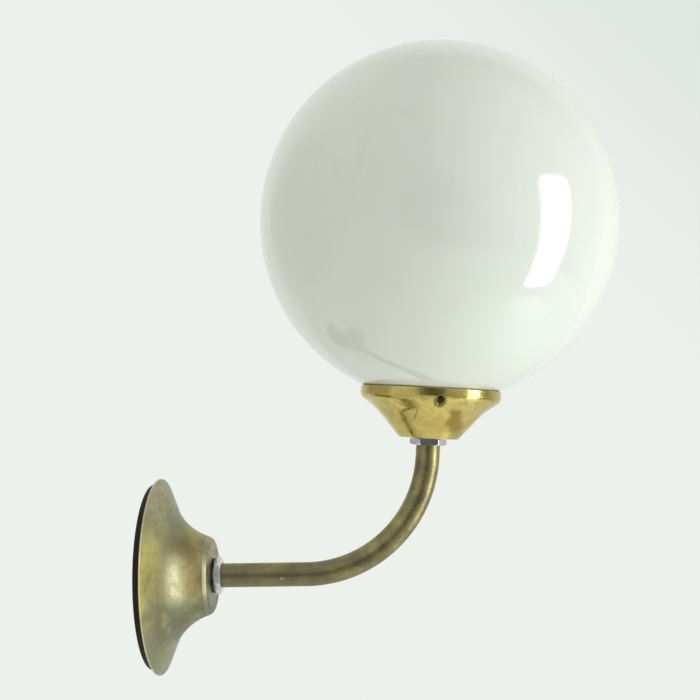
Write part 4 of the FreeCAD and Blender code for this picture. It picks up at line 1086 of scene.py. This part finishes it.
def wset(value, socket):
    if isinstance(value, bpy.types.NodeSocket):
        tree.links.new(value, socket)
    else:
        socket.default_value = value


def wrange(value, low, high, a, b):
    node = wnode("ShaderNodeMapRange")
    node.interpolation_type = "SMOOTHSTEP"
    wset(value, node.inputs["Value"])
    for key, number in (("From Min", low), ("From Max", high), ("To Min", a), ("To Max", b)):
        node.inputs[key].default_value = number
    return node.outputs["Result"]


def wmath(kind, a, b):
    node = wnode("ShaderNodeMath")
    node.operation = kind
    wset(a, node.inputs[0])
    wset(b, node.inputs[1])
    return node.outputs[0]


coords = wnode("ShaderNodeTexCoord")
parts = wnode("ShaderNodeSeparateXYZ")
tree.links.new(coords.outputs["Generated"], parts.inputs[0])
dx, dy, dz = parts.outputs
# pale studio walls behind and beside the piece, a dimmer open room in front of it


def wdot(x, y, z):
    """How far the direction looks along that one."""
    length = math.sqrt(x * x + y * y + z * z)
    return wmath("ADD", wmath("ADD", wmath("MULTIPLY", dx, x / length), wmath("MULTIPLY", dy, y / length)),
                 wmath("MULTIPLY", dz, z / length))


glow = wrange(dy, -0.30, 0.45, 0.0, 0.60)
glow = wmath("MAXIMUM", glow, wrange(dx, 0.0, 0.75, 0.0, 0.58))
glow = wmath("MAXIMUM", glow, wrange(wdot(-0.35, -0.62, 0.70), 0.10, 0.98, 0.0, 0.50))
glow = wmath("MAXIMUM", glow, wmath("ADD", wrange(dz, 0.1, 0.95, 0.0, 0.34), wrange(dz, -0.95, -0.1, 0.20, 0.0)))
glow = wmath("ADD", glow, 0.24)
# the dim place straight in front of the piece, where the onlooker stands
glow = wmath("MULTIPLY", glow, wrange(wdot(-1.0, -0.06, -0.03), 0.86, 0.985, 1.0, 0.30))
# the wall right behind the lamp lies in its own shade
glow = wmath("MULTIPLY", glow, wrange(wdot(0.12, 0.98, 0.08), 0.72, 0.97, 1.0, 0.62))
# the darker boards under the window side
glow = wmath("MULTIPLY", glow, wrange(wdot(0.20, -0.52, -0.83), 0.72, 0.97, 1.0, 0.30))
light = wnode("ShaderNodeBackground")
light.inputs["Color"].default_value = (0.965, 1.0, 0.935, 1.0)
tree.links.new(glow, light.inputs["Strength"])
back_mix = wnode("ShaderNodeMix")
back_mix.data_type = "RGBA"
corner = wmath("ADD", wmath("MULTIPLY", dy, -1.0), dz)
tree.links.new(wrange(corner, 0.12, 0.50, 0.0, 1.0), back_mix.inputs[0])
back_mix.inputs[6].default_value = (0.842, 0.880, 0.836, 1.0)
back_mix.inputs[7].default_value = (0.745, 0.785, 0.740, 1.0)
seen = wnode("ShaderNodeBackground")
tree.links.new(back_mix.outputs[2], seen.inputs["Color"])
path = wnode("ShaderNodeLightPath")
both = wnode("ShaderNodeMixShader")
tree.links.new(path.outputs["Is Camera Ray"], both.inputs[0])
tree.links.new(light.outputs[0], both.inputs[1])
tree.links.new(seen.outputs[0], both.inputs[2])
end = wnode("ShaderNodeOutputWorld")
tree.links.new(both.outputs[0], end.inputs[0])

bpy.context.scene.view_settings.view_transform = "Standard"
bpy.context.scene.view_settings.look = "None"
bpy.context.scene.view_settings.exposure = 0.0
bpy.context.scene.view_settings.gamma = 1.0

# --------------------------------------------------------------------------- size
def plain(value):
    """A box as plain lists of numbers."""
    if isinstance(value, (int, float)):
        return float(value)
    return [plain(v) for v in value]


{"cad_box": plain(cad_box), "visual_box": plain(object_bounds())}
